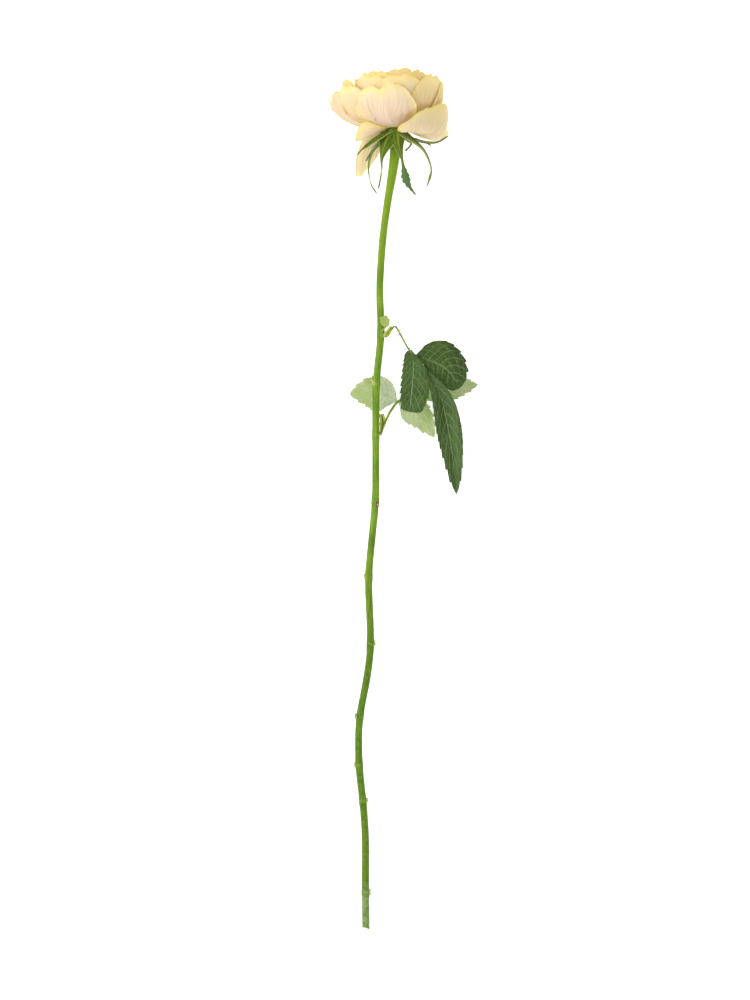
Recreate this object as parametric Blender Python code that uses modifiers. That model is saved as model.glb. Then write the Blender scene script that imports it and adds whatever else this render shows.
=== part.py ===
# A cut garden rose lying on its side: a kinked stem, a calyx, a full cupped bloom, two leaves of
# three leaflets and a small axil leaf. Lengths are given in millimetres and stored in metres.
# +Y runs along the stem towards the bloom, and +Z is up from the surface that the rose lies on.

import math

import bmesh
import bpy
import numpy as np
from mathutils import Matrix, Vector

MM = 0.001
MERGE_DISTANCE = 1e-7  # metres

# Driving dimensions

CUT_END_Y = -301.0
NECK_Y = 250.1
STEM_BENDS = [  # x, y of the stem's middle line: the cut end, each node and bend, and the bloom's base
    (-26.5, -301), (-27, -276), (-28.5, -211), (-31.5, -186), (-31.5, -152), (-22.5, -101), (-25, -54),
    (-19.5, 0), (-19.5, 81), (-15.5, 116), (-17, 148), (-14.5, 185), (-9.5, 222), (-5.5, 258),
]
BEND_LENGTH = 12.0  # each bend is rounded over this length to either side
STEM_NODES = [-276, -211, -186, -152, -101, -54, 0, 46, 81, 116]  # y of each leaf node
STEM_RADIUS = 2.55
NECK_RADIUS = 3.75
NECK_START_Y = 195.0  # from here the stem thickens over the neck's length
NECK_LENGTH = 50.0
NODE_SWELL = 0.4
NODE_LENGTH = 3.5
CUT_SLANT = (-0.45, -1.0, 0.25)  # the way the cut face looks
CUT_END_HEIGHT = 2.47  # the middle line over the surface at the cut end
STEM_ARCH = 1.15  # over 1, the stem leaves the surface gently
BUD_RADII = (1.5, 1.35, 1.0, 0.4)  # from its foot, sunk into the stem, to its tip
BUD_SUNK = 0.8
BUD_LENGTH = 1.9  # out from the stem
BUD_REACH = 2.4  # along the stem, as buds point towards the bloom
BUDS = [  # y, then the side of the stem that the bud or scar stands on, as x and z
    (-276, 1.0, 0.1), (-211, 1.0, 0.2), (-186, -1.0, 0.2), (-152, -1.0, 0.3),
    (-101, 1.0, 0.3), (-54, -1.0, 0.2), (0, 0.35, 1.0), (81, -0.9, 0.5),
]

BLOOM_BASE = (-5.6, 259.8, 35.1)  # where the petals spring from the receptacle
BLOOM_NOD = 4.0  # degrees that its face turns down to the surface
BLOOM_LEAN = 2.0  # degrees that it leans to -X
CORE_PROFILE = [  # radius and height of the solid middle that the petals stand out of
    (0, 21), (12, 20), (21, 18), (24, 15), (21.5, 11.2), (17, 8.2), (9, 6.4), (7, 0.65), (0, 0.65),
]

PETAL_THICKNESS = 0.7
LEAF_THICKNESS = 0.65
SEPAL_THICKNESS = 0.75
SEPAL_TIP = 1.1  # least width of a sepal
LEAFY_WIDTH = 4.2  # extra width where a sepal's tip widens into a small leaf
STALK_RADIUS = 0.72
LEAF_TIP = 0.45  # least half width of a leaflet
GOLDEN_ANGLE = 137.5
INNER_PETALS = 23
INNER_RADII = (3.6, 30.5)  # belly radius of the first and the last inner petal
INNER_CELLS = (5, 5)  # faces along and across a petal
OUTER_CELLS = (6, 6)
RIM_WAVE = 0.3

# The bloom's own frame has +Z along its axis, and azimuth counts in degrees from -Y towards +X, so
# that azimuth 0 is uppermost as the rose lies. The cupped outer petals lie on bowls one inside the
# other, so many millimetres in, and each has a rim of its own radius and height. The loose ones
# below them hold the four control points of their middle line, as radius and height from claw to
# rim, and most curl round a cup of their own and not round the bloom. Listed from the inside out.
BOWL_STEP = 1.2
OUTER_PETALS = [
    {"azimuth": -34, "width": 42, "bowl": 3, "rim": (29.0, 38.0)},
    {"azimuth": 112, "width": 42, "bowl": 3, "rim": (29.0, 37.0)},
    {"azimuth": -136, "width": 42, "bowl": 3, "rim": (29.0, 37.0)},
    {"azimuth": 6, "width": 45, "bowl": 2, "rim": (31.0, 36.5)},
    {"azimuth": 162, "width": 42, "bowl": 2, "rim": (30.5, 35.0)},
    {"azimuth": -88, "width": 42, "bowl": 2, "rim": (34.0, 36.0), "spiral": -1.5},
    {"azimuth": 56, "width": 44, "bowl": 1, "rim": (32.5, 36.0)},
    {"azimuth": 130, "width": 40, "bowl": 1, "rim": (32.0, 32.5)},
    {"azimuth": -162, "width": 44, "bowl": 1, "rim": (32.0, 31.5)},
    {"azimuth": -60, "width": 48, "bowl": 1, "rim": (35.4, 31.5), "spiral": -2.4},
    {"azimuth": 83, "width": 38, "bowl": 0, "rim": (34.0, 33.0)},
    {"azimuth": 176, "width": 44, "bowl": 0, "rim": (34.5, 28.5)},
    {"azimuth": -16, "width": 51, "bowl": 0, "rim": (35.5, 30.5), "notch": 0.07},
    {"azimuth": -120, "width": 36, "profile": [(4, 0.8), (26, -2), (51, 6), (45, 28)]},
    {"azimuth": 54, "width": 58, "profile": [(4, 1.2), (20, -5), (42, -10), (35.8, 18)], "notch": 0.04,
     "corners": 0.12},
    {"azimuth": 98, "width": 36, "cup": 26, "roll": -15, "profile": [(4, 1.2), (18, -5), (35, -9), (40, 1)]},
    {"azimuth": -72, "width": 26, "cup": 13, "roll": 15, "profile": [(4, 0.8), (12, 1.5), (22, 1), (31, -5)]},
    {"azimuth": -118, "width": 20, "cup": 30, "roll": 62,
     "profile": [(4, 0.8), (16, 1.5), (26, -10), (29, -30)]},
]

# Sepals in the bloom's own frame: the middle line, the width near the foot, and how far along the
# leafy widening of the tip sits, where there is one. Side lobes are narrow sepals of their own.
SEPALS = [
    {"line": [(-5.2, -2.6, -1.4), (-12, -8, -5), (-19, -10.5, -10), (-24, -10.5, -14), (-27, -9.5, -17.5)],
     "width": 7.5},
    {"line": [(-4.6, 3.8, -1.8), (-11, 5.5, -7), (-17, 4.5, -15), (-18.8, 3, -26), (-17, 2.5, -38),
              (-13, 2, -43.5)], "width": 5.5},
    {"line": [(-2.6, -5.6, -1.4), (-6.3, -9.0, -11), (-9.3, -9.8, -21), (-9.6, -9.5, -31), (-12, -8, -40)],
     "width": 9.0},
    {"line": [(1.4, -6, -1.4), (1.8, -9.0, -11), (3.8, -9.2, -19), (8.5, -9, -30), (14.5, -8, -45)],
     "width": 7.0, "leafy": 0.72},
    {"line": [(5.7, -1, -1.6), (12.5, -3, -7.5), (20.5, -5, -15.5), (25, -5, -26), (24.8, -4, -33),
              (21.8, -3, -39.5)], "width": 6.5, "leafy": 0.84},
    {"line": [(-13.6, 4.9, -10.5), (-17.5, 2.5, -15.5), (-21, 0, -21.5)], "width": 2.6},
    {"line": [(5, -4, -3), (11.5, -6, -8.5), (12, -6, -11), (8.5, -6, -13.5)], "width": 1.4},
    {"line": [(10, 1.5, -5), (18, 2.5, -7), (26, 2.5, -10)], "width": 2.2},
    {"line": [(5, 3, -3), (16, 9, -10.5), (28, 11, -12), (37, 11, -6)], "width": 3.0},
]
URN_PROFILE = [(0, -0.3), (6.0, -0.3), (6.8, -1.2), (6.2, -3.2), (4.8, -6.0), (3.7, -8.6), (0, -8.6)]

# Leaflets: middle rib, the way the upper face looks, the whole width, the rise of each half out of
# flat in degrees, how far along it is widest, how blunt its tip is and the teeth on each edge. Where
# the two halves differ, each one's share of an even half. A stipule is a small blade of the same kind.
UPPER_LEAFLETS = {
    "side_left": {"rib": [(6.6, 103.5, 29.5), (7.6, 93, 30.5), (6.0, 79, 27.5), (2.4, 61.8, 21.5)],
                  "faces": (-0.25, 0.1, 1.0), "width": 22, "rise": 10, "widest": 0.7, "blunt": 0.22,
                  "teeth": 9, "halves": (0.66, 1.3)},
    "side_right": {"rib": [(8.2, 100.2, 29.0), (20.5, 96.5, 29.5), (31, 90.5, 25.5), (41, 79, 17.5)],
                   "faces": (0.25, 0.25, 1.0), "width": 31, "rise": 5, "widest": 0.52, "blunt": 0.5,
                   "teeth": 9},
    "end": {"rib": [(16.3, 91, 27.0), (26.2, 71.5, 26.0), (30.5, 53, 20.5), (34, 33, 12.5), (37.2, 4.3, 3.6)],
            "faces": (0.1, 0.15, 1.0), "width": 22, "rise": 26, "widest": 0.52, "blunt": 0.75,
            "teeth": 13, "halves": (0.9, 1.0)},
    "stipule": {"rib": [(-12.8, 113.6, 28.4), (-10.9, 117.4, 29.8), (-8.0, 121.4, 31.2)],
                "faces": (0.2, -0.3, 1.0), "width": 4.4, "rise": 20, "widest": 0.45, "blunt": 0.8,
                "teeth": 2},
}
UPPER_STALK = [(-12.2, 115.0, 28.3), (-10.7, 115.9, 28.9), (-8.6, 119.6, 30.6), (-5.8, 121.2, 31.6),
               (-2.6, 116.5, 31.6), (3.0, 106.5, 30.0), (8.3, 100.2, 28.8), (17.0, 89.8, 27.1)]
LOWER_LEAFLETS = {
    "side_left": {"rib": [(-4.4, 69.2, 15.4), (-13, 73, 14.0), (-24, 75.3, 11.0), (-37.8, 74.2, 6.5)],
                  "faces": (0.0, 0.1, -1.0), "width": 25.5, "rise": 7, "widest": 0.42, "blunt": 0.9,
                  "teeth": 8},
    "side_right": {"rib": [(-3.0, 68.6, 15.0), (4, 64.8, 12.6), (12.3, 57.8, 8.6), (21.7, 44.1, 3.8)],
                   "faces": (0.1, 0.15, -1.0), "width": 20, "rise": 8, "widest": 0.45, "blunt": 0.9,
                   "teeth": 8},
    "end": {"rib": [(10.8, 73.6, 13.4), (25, 76.6, 11.0), (39, 79.4, 7.5), (52.3, 80.9, 4.6)],
            "faces": (0.0, 0.2, -1.0), "width": 18, "rise": 8, "widest": 0.45, "blunt": 0.9,
            "teeth": 8},
    "stipule": {"rib": [(-15.0, 46.8, 20.7), (-14.0, 51.5, 19.8), (-14.1, 55.8, 18.9), (-15.4, 59.6, 18.8)],
                "faces": (0.1, 0.2, 1.0), "width": 4.6, "rise": 20, "widest": 0.5, "blunt": 0.8,
                "teeth": 2},
}
LOWER_STALK = [(-15.5, 46.2, 20.9), (-14.3, 47.3, 20.2), (-12.4, 54.5, 18.9), (-8.4, 62.8, 17.0),
               (-3.6, 69.2, 15.2), (4.0, 72.0, 14.2), (11.6, 73.8, 13.3)]
AXIL_LEAFLETS = {
    "blade": {"rib": [(-12.7, 120.6, 32.3), (-12.6, 123, 33.0), (-13.3, 126, 33.2), (-14.4, 128.6, 32.7)],
              "faces": (0.1, 0.0, 1.0), "width": 6.6, "rise": 12, "widest": 0.5, "blunt": 0.4,
              "teeth": 3},
}
AXIL_STALK = [(-15.2, 118.4, 29.5), (-14.3, 119.2, 30.6), (-13.3, 120.2, 31.7), (-12.7, 121.2, 32.5)]

COLOURS = {  # base colour and roughness
    "stem_green": ((0.20, 0.36, 0.07), 0.45),
    "calyx_green": ((0.17, 0.29, 0.05), 0.55),
    "petal_cream": ((0.88, 0.74, 0.50), 0.60),
    "leaf_green": ((0.06, 0.14, 0.03), 0.40),
    "leaf_pale": ((0.42, 0.52, 0.27), 0.60),
}


# Curves and surfaces on grids

def unit(vectors):
    return vectors / np.linalg.norm(vectors, axis=-1, keepdims=True)


def bezier(points, t):
    """Cubic Bezier curve through the first and last of four control points."""
    p = np.asarray(points, float)
    t = t[..., None]
    s = 1 - t
    return s**3 * p[0] + 3 * s**2 * t * p[1] + 3 * s * t**2 * p[2] + t**3 * p[3]


def bezier_run(points, t):
    """Direction of the Bezier curve, from its derivative."""
    p = np.asarray(points, float)
    t = t[..., None]
    s = 1 - t
    return unit(s**2 * (p[1] - p[0]) + 2 * s * t * (p[2] - p[1]) + t**2 * (p[3] - p[2]))


def through(points, t):
    """Catmull-Rom curve through all the points, t running from 0 to 1."""
    p = np.asarray(points, float)
    p = np.vstack([2 * p[0] - p[1], p, 2 * p[-1] - p[-2]])
    spans = len(p) - 3
    along = np.clip(t * spans, 0, spans - 1e-9)
    span = along.astype(int)
    f = (along - span)[..., None]
    a, b, c, d = (p[span + k] for k in range(4))
    return b + 0.5 * f * (c - a + f * (2 * a - 5 * b + 4 * c - d + f * (3 * (b - c) + d - a)))


def through_run(points, t, step=1e-3):
    """Direction of the curve through the points, from a short chord."""
    ahead = through(points, np.clip(t + step, 0, 1))
    return unit(ahead - through(points, np.clip(t - step, 0, 1)))


def grid(rows, columns):
    return np.meshgrid(rows, columns, indexing="ij")


def bloom_frame():
    turn = Matrix.Rotation(math.radians(BLOOM_LEAN), 4, "Z")
    tip = Matrix.Rotation(-math.radians(90 + BLOOM_NOD), 4, "X")
    return Matrix.Translation(Vector(BLOOM_BASE) * MM) @ turn @ tip


# Blender helpers

def clear_scene():
    for old in list(bpy.data.objects):
        bpy.data.objects.remove(old)


def new_collection(name):
    made = bpy.data.collections.new(name)
    bpy.context.scene.collection.children.link(made)
    return made


def new_material(name):
    colour, roughness = COLOURS[name]
    made = bpy.data.materials.new(name)
    made.use_nodes = True
    shader = made.node_tree.nodes["Principled BSDF"]
    shader.inputs["Base Color"].default_value = (*colour, 1.0)
    shader.inputs["Roughness"].default_value = roughness
    shader.inputs["Metallic"].default_value = 0.0
    return made


def add_object(name, data, collection):
    made = bpy.data.objects.new(name, data)
    collection.objects.link(made)
    return made


def made_solid(obj):
    """The object as it stands with its modifiers, as a plain mesh with its doubles merged."""
    graph = bpy.context.evaluated_depsgraph_get()
    mesh = bpy.data.meshes.new_from_object(obj.evaluated_get(graph), depsgraph=graph)
    shape = bmesh.new()
    shape.from_mesh(mesh)
    bmesh.ops.remove_doubles(shape, verts=shape.verts, dist=MERGE_DISTANCE)
    shape.to_mesh(mesh)
    shape.free()
    name = obj.name
    collection = obj.users_collection[0]
    bpy.data.objects.remove(obj)
    return add_object(name, mesh, collection)


def make_blade(name, points, thickness, collection):
    """A thin closed blade: an open sheet over the grid, cut into triangles and then given a wall."""
    rows, columns = points.shape[:2]
    index = np.arange(rows * columns).reshape(rows, columns)
    corners = index[:-1, :-1], index[1:, :-1], index[1:, 1:], index[:-1, 1:]
    a, b, c, d = (corner.ravel() for corner in corners)
    faces = np.concatenate([np.stack([a, b, c], 1), np.stack([a, c, d], 1)])
    mesh = bpy.data.meshes.new(name)
    mesh.from_pydata((points.reshape(-1, 3) * MM).tolist(), [], faces.tolist())
    sheet = add_object(name, mesh, collection)
    wall = sheet.modifiers.new("wall", "SOLIDIFY")
    wall.thickness = thickness * MM
    wall.offset = 0.0
    return made_solid(sheet)


def make_tube(name, points, radii, resolution, collection):
    """A tube along the points with a radius at each, its ends closed flat."""
    curve = bpy.data.curves.new(name, "CURVE")
    curve.dimensions = "3D"
    curve.bevel_depth = MM
    curve.bevel_resolution = resolution
    curve.use_fill_caps = True
    line = curve.splines.new("POLY")
    line.points.add(len(points) - 1)
    for spot, place, radius in zip(line.points, points, radii):
        spot.co = (*(place * MM), 1.0)
        spot.radius = radius
    return made_solid(add_object(name, curve, collection))


def make_turned(name, profile, sides, collection):
    """A solid turned round +Z from a profile of radius and height that starts and ends on the axis."""
    mesh = bpy.data.meshes.new(name)
    edges = [(k, k + 1) for k in range(len(profile) - 1)]
    mesh.from_pydata([(radius * MM, 0, height * MM) for radius, height in profile], edges, [])
    turned = add_object(name, mesh, collection)
    screw = turned.modifiers.new("turn", "SCREW")
    screw.steps = screw.render_steps = sides
    screw.use_merge_vertices = True
    screw.merge_threshold = 0.00001
    solid = made_solid(turned)
    shape = bmesh.new()
    shape.from_mesh(solid.data)
    bmesh.ops.recalc_face_normals(shape, faces=shape.faces)
    shape.to_mesh(solid.data)
    shape.free()
    return solid


def fuse(name, body, others, material):
    """One solid from a body and the collection of pieces that grow out of it."""
    join = body.modifiers.new("join", "BOOLEAN")
    join.operation = "UNION"
    join.operand_type = "COLLECTION"
    join.collection = others
    join.solver = "MANIFOLD"
    made = made_solid(body)
    made.name = name
    made.data.materials.clear()
    made.data.materials.append(material)
    for piece in list(others.objects):
        bpy.data.objects.remove(piece)
    bpy.data.collections.remove(others)
    return made


# The stem

def stem_middle(y):
    """Straight between the bends, each bend rounded by an average over its length."""
    bends = np.array(STEM_BENDS, float)
    window = np.linspace(-BEND_LENGTH, BEND_LENGTH, 13)
    x = np.interp(y[:, None] + window, bends[:, 1], bends[:, 0]).mean(axis=1)
    share = np.clip((y - CUT_END_Y) / (BLOOM_BASE[1] - CUT_END_Y), 0, 1)
    height = CUT_END_HEIGHT + (BLOOM_BASE[2] - CUT_END_HEIGHT) * share**STEM_ARCH
    return np.column_stack([x, y, height])


def stem_radius(y):
    """Even, swollen at each node and thicker towards the neck."""
    neck = np.clip((y - NECK_START_Y) / NECK_LENGTH, 0, 1) ** 1.5
    swell = sum(np.exp(-(((y - node) / NODE_LENGTH) ** 2)) for node in STEM_NODES)
    return STEM_RADIUS + (NECK_RADIUS - STEM_RADIUS) * neck + NODE_SWELL * swell


def stem_stations():
    """Even steps along the stem, with close ones at each node."""
    nodes = np.array(STEM_NODES, float)
    close = (nodes[:, None] + np.array([-6, -3, 0, 3, 6])).ravel()
    even = np.linspace(CUT_END_Y, NECK_Y, 45)
    clear = np.abs(even[:, None] - nodes).min(axis=1) > 10
    return np.sort(np.concatenate([even[clear], close]))


def make_stem(part, material):
    stations = stem_stations()
    stem = make_tube("stem", stem_middle(stations), stem_radius(stations), 3, part)
    cut_on_a_slant(stem)
    buds = new_collection("buds")
    for number, (y, side, up) in enumerate(BUDS):
        at = np.array([float(y)])
        way = unit(np.array([side, 0.0, up]))
        foot = stem_middle(at)[0] + way * (stem_radius(at)[0] - BUD_SUNK)
        along = np.linspace(0, 1, len(BUD_RADII))[:, None]
        points = foot + (way * BUD_LENGTH + (0, BUD_REACH, 0)) * along
        make_tube(f"bud_{number}", points, BUD_RADII, 1, buds)
    return fuse("stem", stem, buds, material)


def cut_on_a_slant(stem):
    shape = bmesh.new()
    shape.from_mesh(stem.data)
    start = Vector(stem_middle(np.array([CUT_END_Y + 2.0]))[0]) * MM
    everything = shape.verts[:] + shape.edges[:] + shape.faces[:]
    cut = bmesh.ops.bisect_plane(
        shape, geom=everything, plane_co=start, plane_no=CUT_SLANT, clear_outer=True)
    rim = [edge for edge in cut["geom_cut"] if isinstance(edge, bmesh.types.BMEdge)]
    bmesh.ops.contextual_create(shape, geom=rim)
    bmesh.ops.recalc_face_normals(shape, faces=shape.faces)
    shape.to_mesh(stem.data)
    shape.free()


# The bloom

def spread(u):
    """Share of a cupped petal's widest angle at u: its edges part from the claw like meridians."""
    return 0.8 + 0.2 * np.sin(math.pi * np.clip(u / 1.1, 0, 1)) - 0.12 * u**6


def half_width(u):
    """Share of a loose petal's widest half width at u: a narrow claw, widest near 0.8."""
    return 0.17 * (1 - u) ** 2 + np.sin(math.pi * 0.62 * u**1.15)


def bowl_profile(petal):
    inset = petal["bowl"] * BOWL_STEP
    return [(4, 0.8 + inset), (21, 0.6 + inset), (38.5 - 1.15 * inset, 8 + 0.7 * inset), petal["rim"]]


def petal_points(petal, cells):
    """Points over one petal, u from claw to rim and v across it.

    The middle line is a Bezier profile in a plane through the bloom's axis. Each row is an arc
    round the axis, or round the petal's own cup. The rim is rounded, notched and a little waved.
    """
    u, v = grid(np.linspace(0, 1, cells[0] + 1), np.linspace(-1, 1, cells[1] + 1))
    notch = petal.get("notch", 0.02) * u**4 * np.exp(-((v / 0.2) ** 2))
    t = u - petal.get("corners", 0.28) * u**2 * v**2 - notch
    profile = petal.get("profile") or bowl_profile(petal)
    middle = bezier(profile, t)
    run = bezier_run(profile, t)
    turn = math.radians(petal["azimuth"])
    outward = np.array([math.sin(turn), -math.cos(turn), 0.0])
    sideways = np.array([math.cos(turn), math.sin(turn), 0.0])
    axis = np.array([0.0, 0.0, 1.0])
    spine = middle[..., :1] * outward + middle[..., 1:] * axis
    face = run[..., 1:] * outward - run[..., :1] * axis
    if "cup" in petal:
        roll = math.radians(petal.get("roll", 0.0)) * np.clip(1.5 * u, 0, 1)[..., None]
        across = np.cos(roll) * sideways - np.sin(roll) * face
        face = np.cos(roll) * face + np.sin(roll) * sideways
        radius = petal["cup"]
        inward = -face
        angle = (petal["width"] / 2 * half_width(u))[..., None] / radius
    else:
        across = sideways
        radius = middle[..., :1]
        inward = -outward
        widest = bezier(profile, np.array([0.7]))[0, 0]
        angle = (petal["width"] / 2 / widest * spread(u))[..., None]
    angle = angle * v[..., None]
    lift = petal.get("spiral", 0.15) * v * u + RIM_WAVE * u**4 * np.sin(7 * v + 3 * turn)
    return spine + radius * (across * np.sin(angle) + inward * (1 - np.cos(angle))) + face * lift[..., None]


def inner_petals():
    """Cupped petals on nested bowls, each a golden angle on from the last and a little wider out."""
    first, last = INNER_RADII
    made = []
    for i in range(INNER_PETALS):
        share = (i / (INNER_PETALS - 1)) ** 0.92
        radius = first + (last - first) * share
        top = 39 + 4 * math.sin(math.pi * share) - 1.5 * share
        made.append({
            "azimuth": 20 + i * GOLDEN_ANGLE,
            "width": min(12 + 1.5 * radius, 43),
            "profile": [(1.2 + 0.1 * radius, 7 + 3 * (1 - share)), (0.62 * radius, 7 + 6 * (1 - share)),
                        (1.12 * radius, 0.4 * top), (0.9 * radius, top)],
        })
    return made


def laid_down(points, lowest):
    """Petals that reach below the surface lie on it: what is under lowest is brought up to it."""
    frame = np.array(bloom_frame())
    up = frame[2, :3]
    height = points @ up + frame[2, 3] / MM
    return points + np.maximum(lowest - height, 0.0)[..., None] * up


def make_bloom(part, material):
    core = make_turned("core", CORE_PROFILE, 16, part)
    petals = new_collection("petals")
    for number, petal in enumerate(inner_petals() + OUTER_PETALS):
        cells = INNER_CELLS if number < INNER_PETALS else OUTER_CELLS
        lowest = PETAL_THICKNESS / 2 + petal.get("bowl", 0) * 0.8 * BOWL_STEP
        points = laid_down(petal_points(petal, cells), lowest)
        make_blade(f"petal_{number}", points, PETAL_THICKNESS, petals)
    bloom = fuse("bloom", core, petals, material)
    bloom.matrix_world = bloom_frame()
    return bloom


# The calyx

def sepal_points(sepal, along, across):
    """A narrow blade along its middle line, its back to the stem and its edges folded inwards.

    It is broad near the foot and drawn out to a thread, with a bell of extra width for a leafy tip.
    """
    u, v = grid(np.linspace(0, 1, along + 1), np.linspace(-1, 1, across + 1))
    middle = through(sepal["line"], u)
    run = through_run(sepal["line"], u)
    out = middle * (1, 1, 0) + (0, 0, 4)
    side = unit(np.cross(run, out))
    face = np.cross(side, run)
    width = sepal["width"] * (1 - u) ** 1.2 * (0.8 + 0.8 * u) + SEPAL_TIP
    if "leafy" in sepal:
        width = width + LEAFY_WIDTH * np.exp(-(((u - sepal["leafy"]) / 0.11) ** 2))
    half = np.minimum(width, 1.3 + 40 * (1 - u))[..., None] / 2
    v = v[..., None]
    return middle + side * half * v - face * half * 0.3 * v**2


def make_calyx(part, material):
    urn = make_turned("urn", URN_PROFILE, 16, part)
    sepals = new_collection("sepals")
    for number, sepal in enumerate(SEPALS):
        along = 2 * len(sepal["line"]) - 2
        make_blade(f"sepal_{number}", sepal_points(sepal, along, 2), SEPAL_THICKNESS, sepals)
    calyx = fuse("calyx", urn, sepals, material)
    calyx.matrix_world = bloom_frame()
    return calyx


# The leaves

def leaflet_half_width(u, widest, blunt):
    """A sine arch over u, bent so that its top is at widest, with a power below 1 for a blunt tip."""
    bent = u ** (math.log(0.5) / math.log(widest))
    return np.sin(math.pi * bent) ** np.where(u < widest, 0.6, blunt)


def leaflet_points(leaflet):
    """Points over one leaflet, with a notch and a tooth by turns along both edges.

    Both halves rise from the middle rib and arch over towards their edges.
    """
    teeth = np.arange(leaflet["teeth"])
    rows = np.sort(np.concatenate([teeth, teeth + 0.7, [len(teeth)]])) / len(teeth)
    u, v = grid(rows, np.linspace(-1, 1, 5))
    bite = np.where(np.arange(len(rows)) % 2 == 1, 1.06, 0.96)[:, None]
    middle = through(leaflet["rib"], u)
    run = through_run(leaflet["rib"], u)
    side = unit(np.cross(leaflet["faces"], run))
    face = np.cross(run, side)
    left, right = leaflet.get("halves", (1.0, 1.0))
    half = leaflet_half_width(np.clip(u, 1e-6, 1 - 1e-6), leaflet["widest"], leaflet["blunt"])
    half = leaflet["width"] / 2 * half * np.where(v < 0, left, right) * np.where(np.abs(v) == 1, bite, 1.0)
    half = np.maximum(half, LEAF_TIP)[..., None]
    rise = math.radians(leaflet["rise"])
    v = v[..., None]
    return middle + half * (side * v * math.cos(rise) + face * (np.abs(v) * math.sin(rise) - 0.16 * v**2))


def make_leaf(name, leaflets, stalk, foot_radius, part, material):
    t = np.linspace(0, 1, 5 * len(stalk) // 2)
    radii = STALK_RADIUS + (foot_radius - STALK_RADIUS) * np.exp(-((t / 0.12) ** 2))
    body = make_tube(name, through(stalk, t), radii, 1, part)
    blades = new_collection(name + "_blades")
    for key, leaflet in leaflets.items():
        make_blade(f"{name}_{key}", leaflet_points(leaflet), LEAF_THICKNESS, blades)
    return fuse(name, body, blades, material)


def main():
    clear_scene()
    part = new_collection("cut_rose")
    materials = {name: new_material(name) for name in COLOURS}
    make_stem(part, materials["stem_green"])
    make_calyx(part, materials["calyx_green"])
    make_bloom(part, materials["petal_cream"])
    make_leaf("upper_leaf", UPPER_LEAFLETS, UPPER_STALK, 1.3, part, materials["leaf_green"])
    make_leaf("lower_leaf", LOWER_LEAFLETS, LOWER_STALK, 1.2, part, materials["leaf_pale"])
    make_leaf("axil_leaf", AXIL_LEAFLETS, AXIL_STALK, 0.75, part, materials["leaf_pale"])


main()
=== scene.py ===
import math

import bpy
import numpy as np
from mathutils import Matrix, Vector


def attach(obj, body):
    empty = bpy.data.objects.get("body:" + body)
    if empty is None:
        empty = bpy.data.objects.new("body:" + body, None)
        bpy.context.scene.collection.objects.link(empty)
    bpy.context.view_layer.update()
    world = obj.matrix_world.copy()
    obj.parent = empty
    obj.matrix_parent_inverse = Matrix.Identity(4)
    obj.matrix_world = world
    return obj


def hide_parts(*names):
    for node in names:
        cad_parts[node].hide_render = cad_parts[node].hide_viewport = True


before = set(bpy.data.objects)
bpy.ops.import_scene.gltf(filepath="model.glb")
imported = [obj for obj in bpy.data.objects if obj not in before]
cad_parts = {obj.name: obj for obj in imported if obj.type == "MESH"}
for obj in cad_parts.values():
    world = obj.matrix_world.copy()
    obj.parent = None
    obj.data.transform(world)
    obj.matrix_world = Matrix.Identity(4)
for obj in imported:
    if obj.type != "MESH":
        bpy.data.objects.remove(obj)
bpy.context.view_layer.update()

# Dressing for the cut rose: fine petals, sepals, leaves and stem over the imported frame, and the studio.
# Shapes are worked out in millimetres on (u, v) grids and stored in metres.

mm = 0.001
print("frame:", ", ".join(sorted(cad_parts)))


# Shader arithmetic

class Value:
    # One output of a node. Arithmetic on it adds Math nodes to its material.
    def __init__(self, paint, socket):
        self.paint = paint
        self.socket = socket

    def __add__(self, other):
        return self.paint.math("ADD", self, other)

    def __radd__(self, other):
        return self.paint.math("ADD", other, self)

    def __sub__(self, other):
        return self.paint.math("SUBTRACT", self, other)

    def __rsub__(self, other):
        return self.paint.math("SUBTRACT", other, self)

    def __mul__(self, other):
        return self.paint.math("MULTIPLY", self, other)

    def __rmul__(self, other):
        return self.paint.math("MULTIPLY", other, self)

    def __truediv__(self, other):
        return self.paint.math("DIVIDE", self, other)

    def __rtruediv__(self, other):
        return self.paint.math("DIVIDE", other, self)


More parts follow.
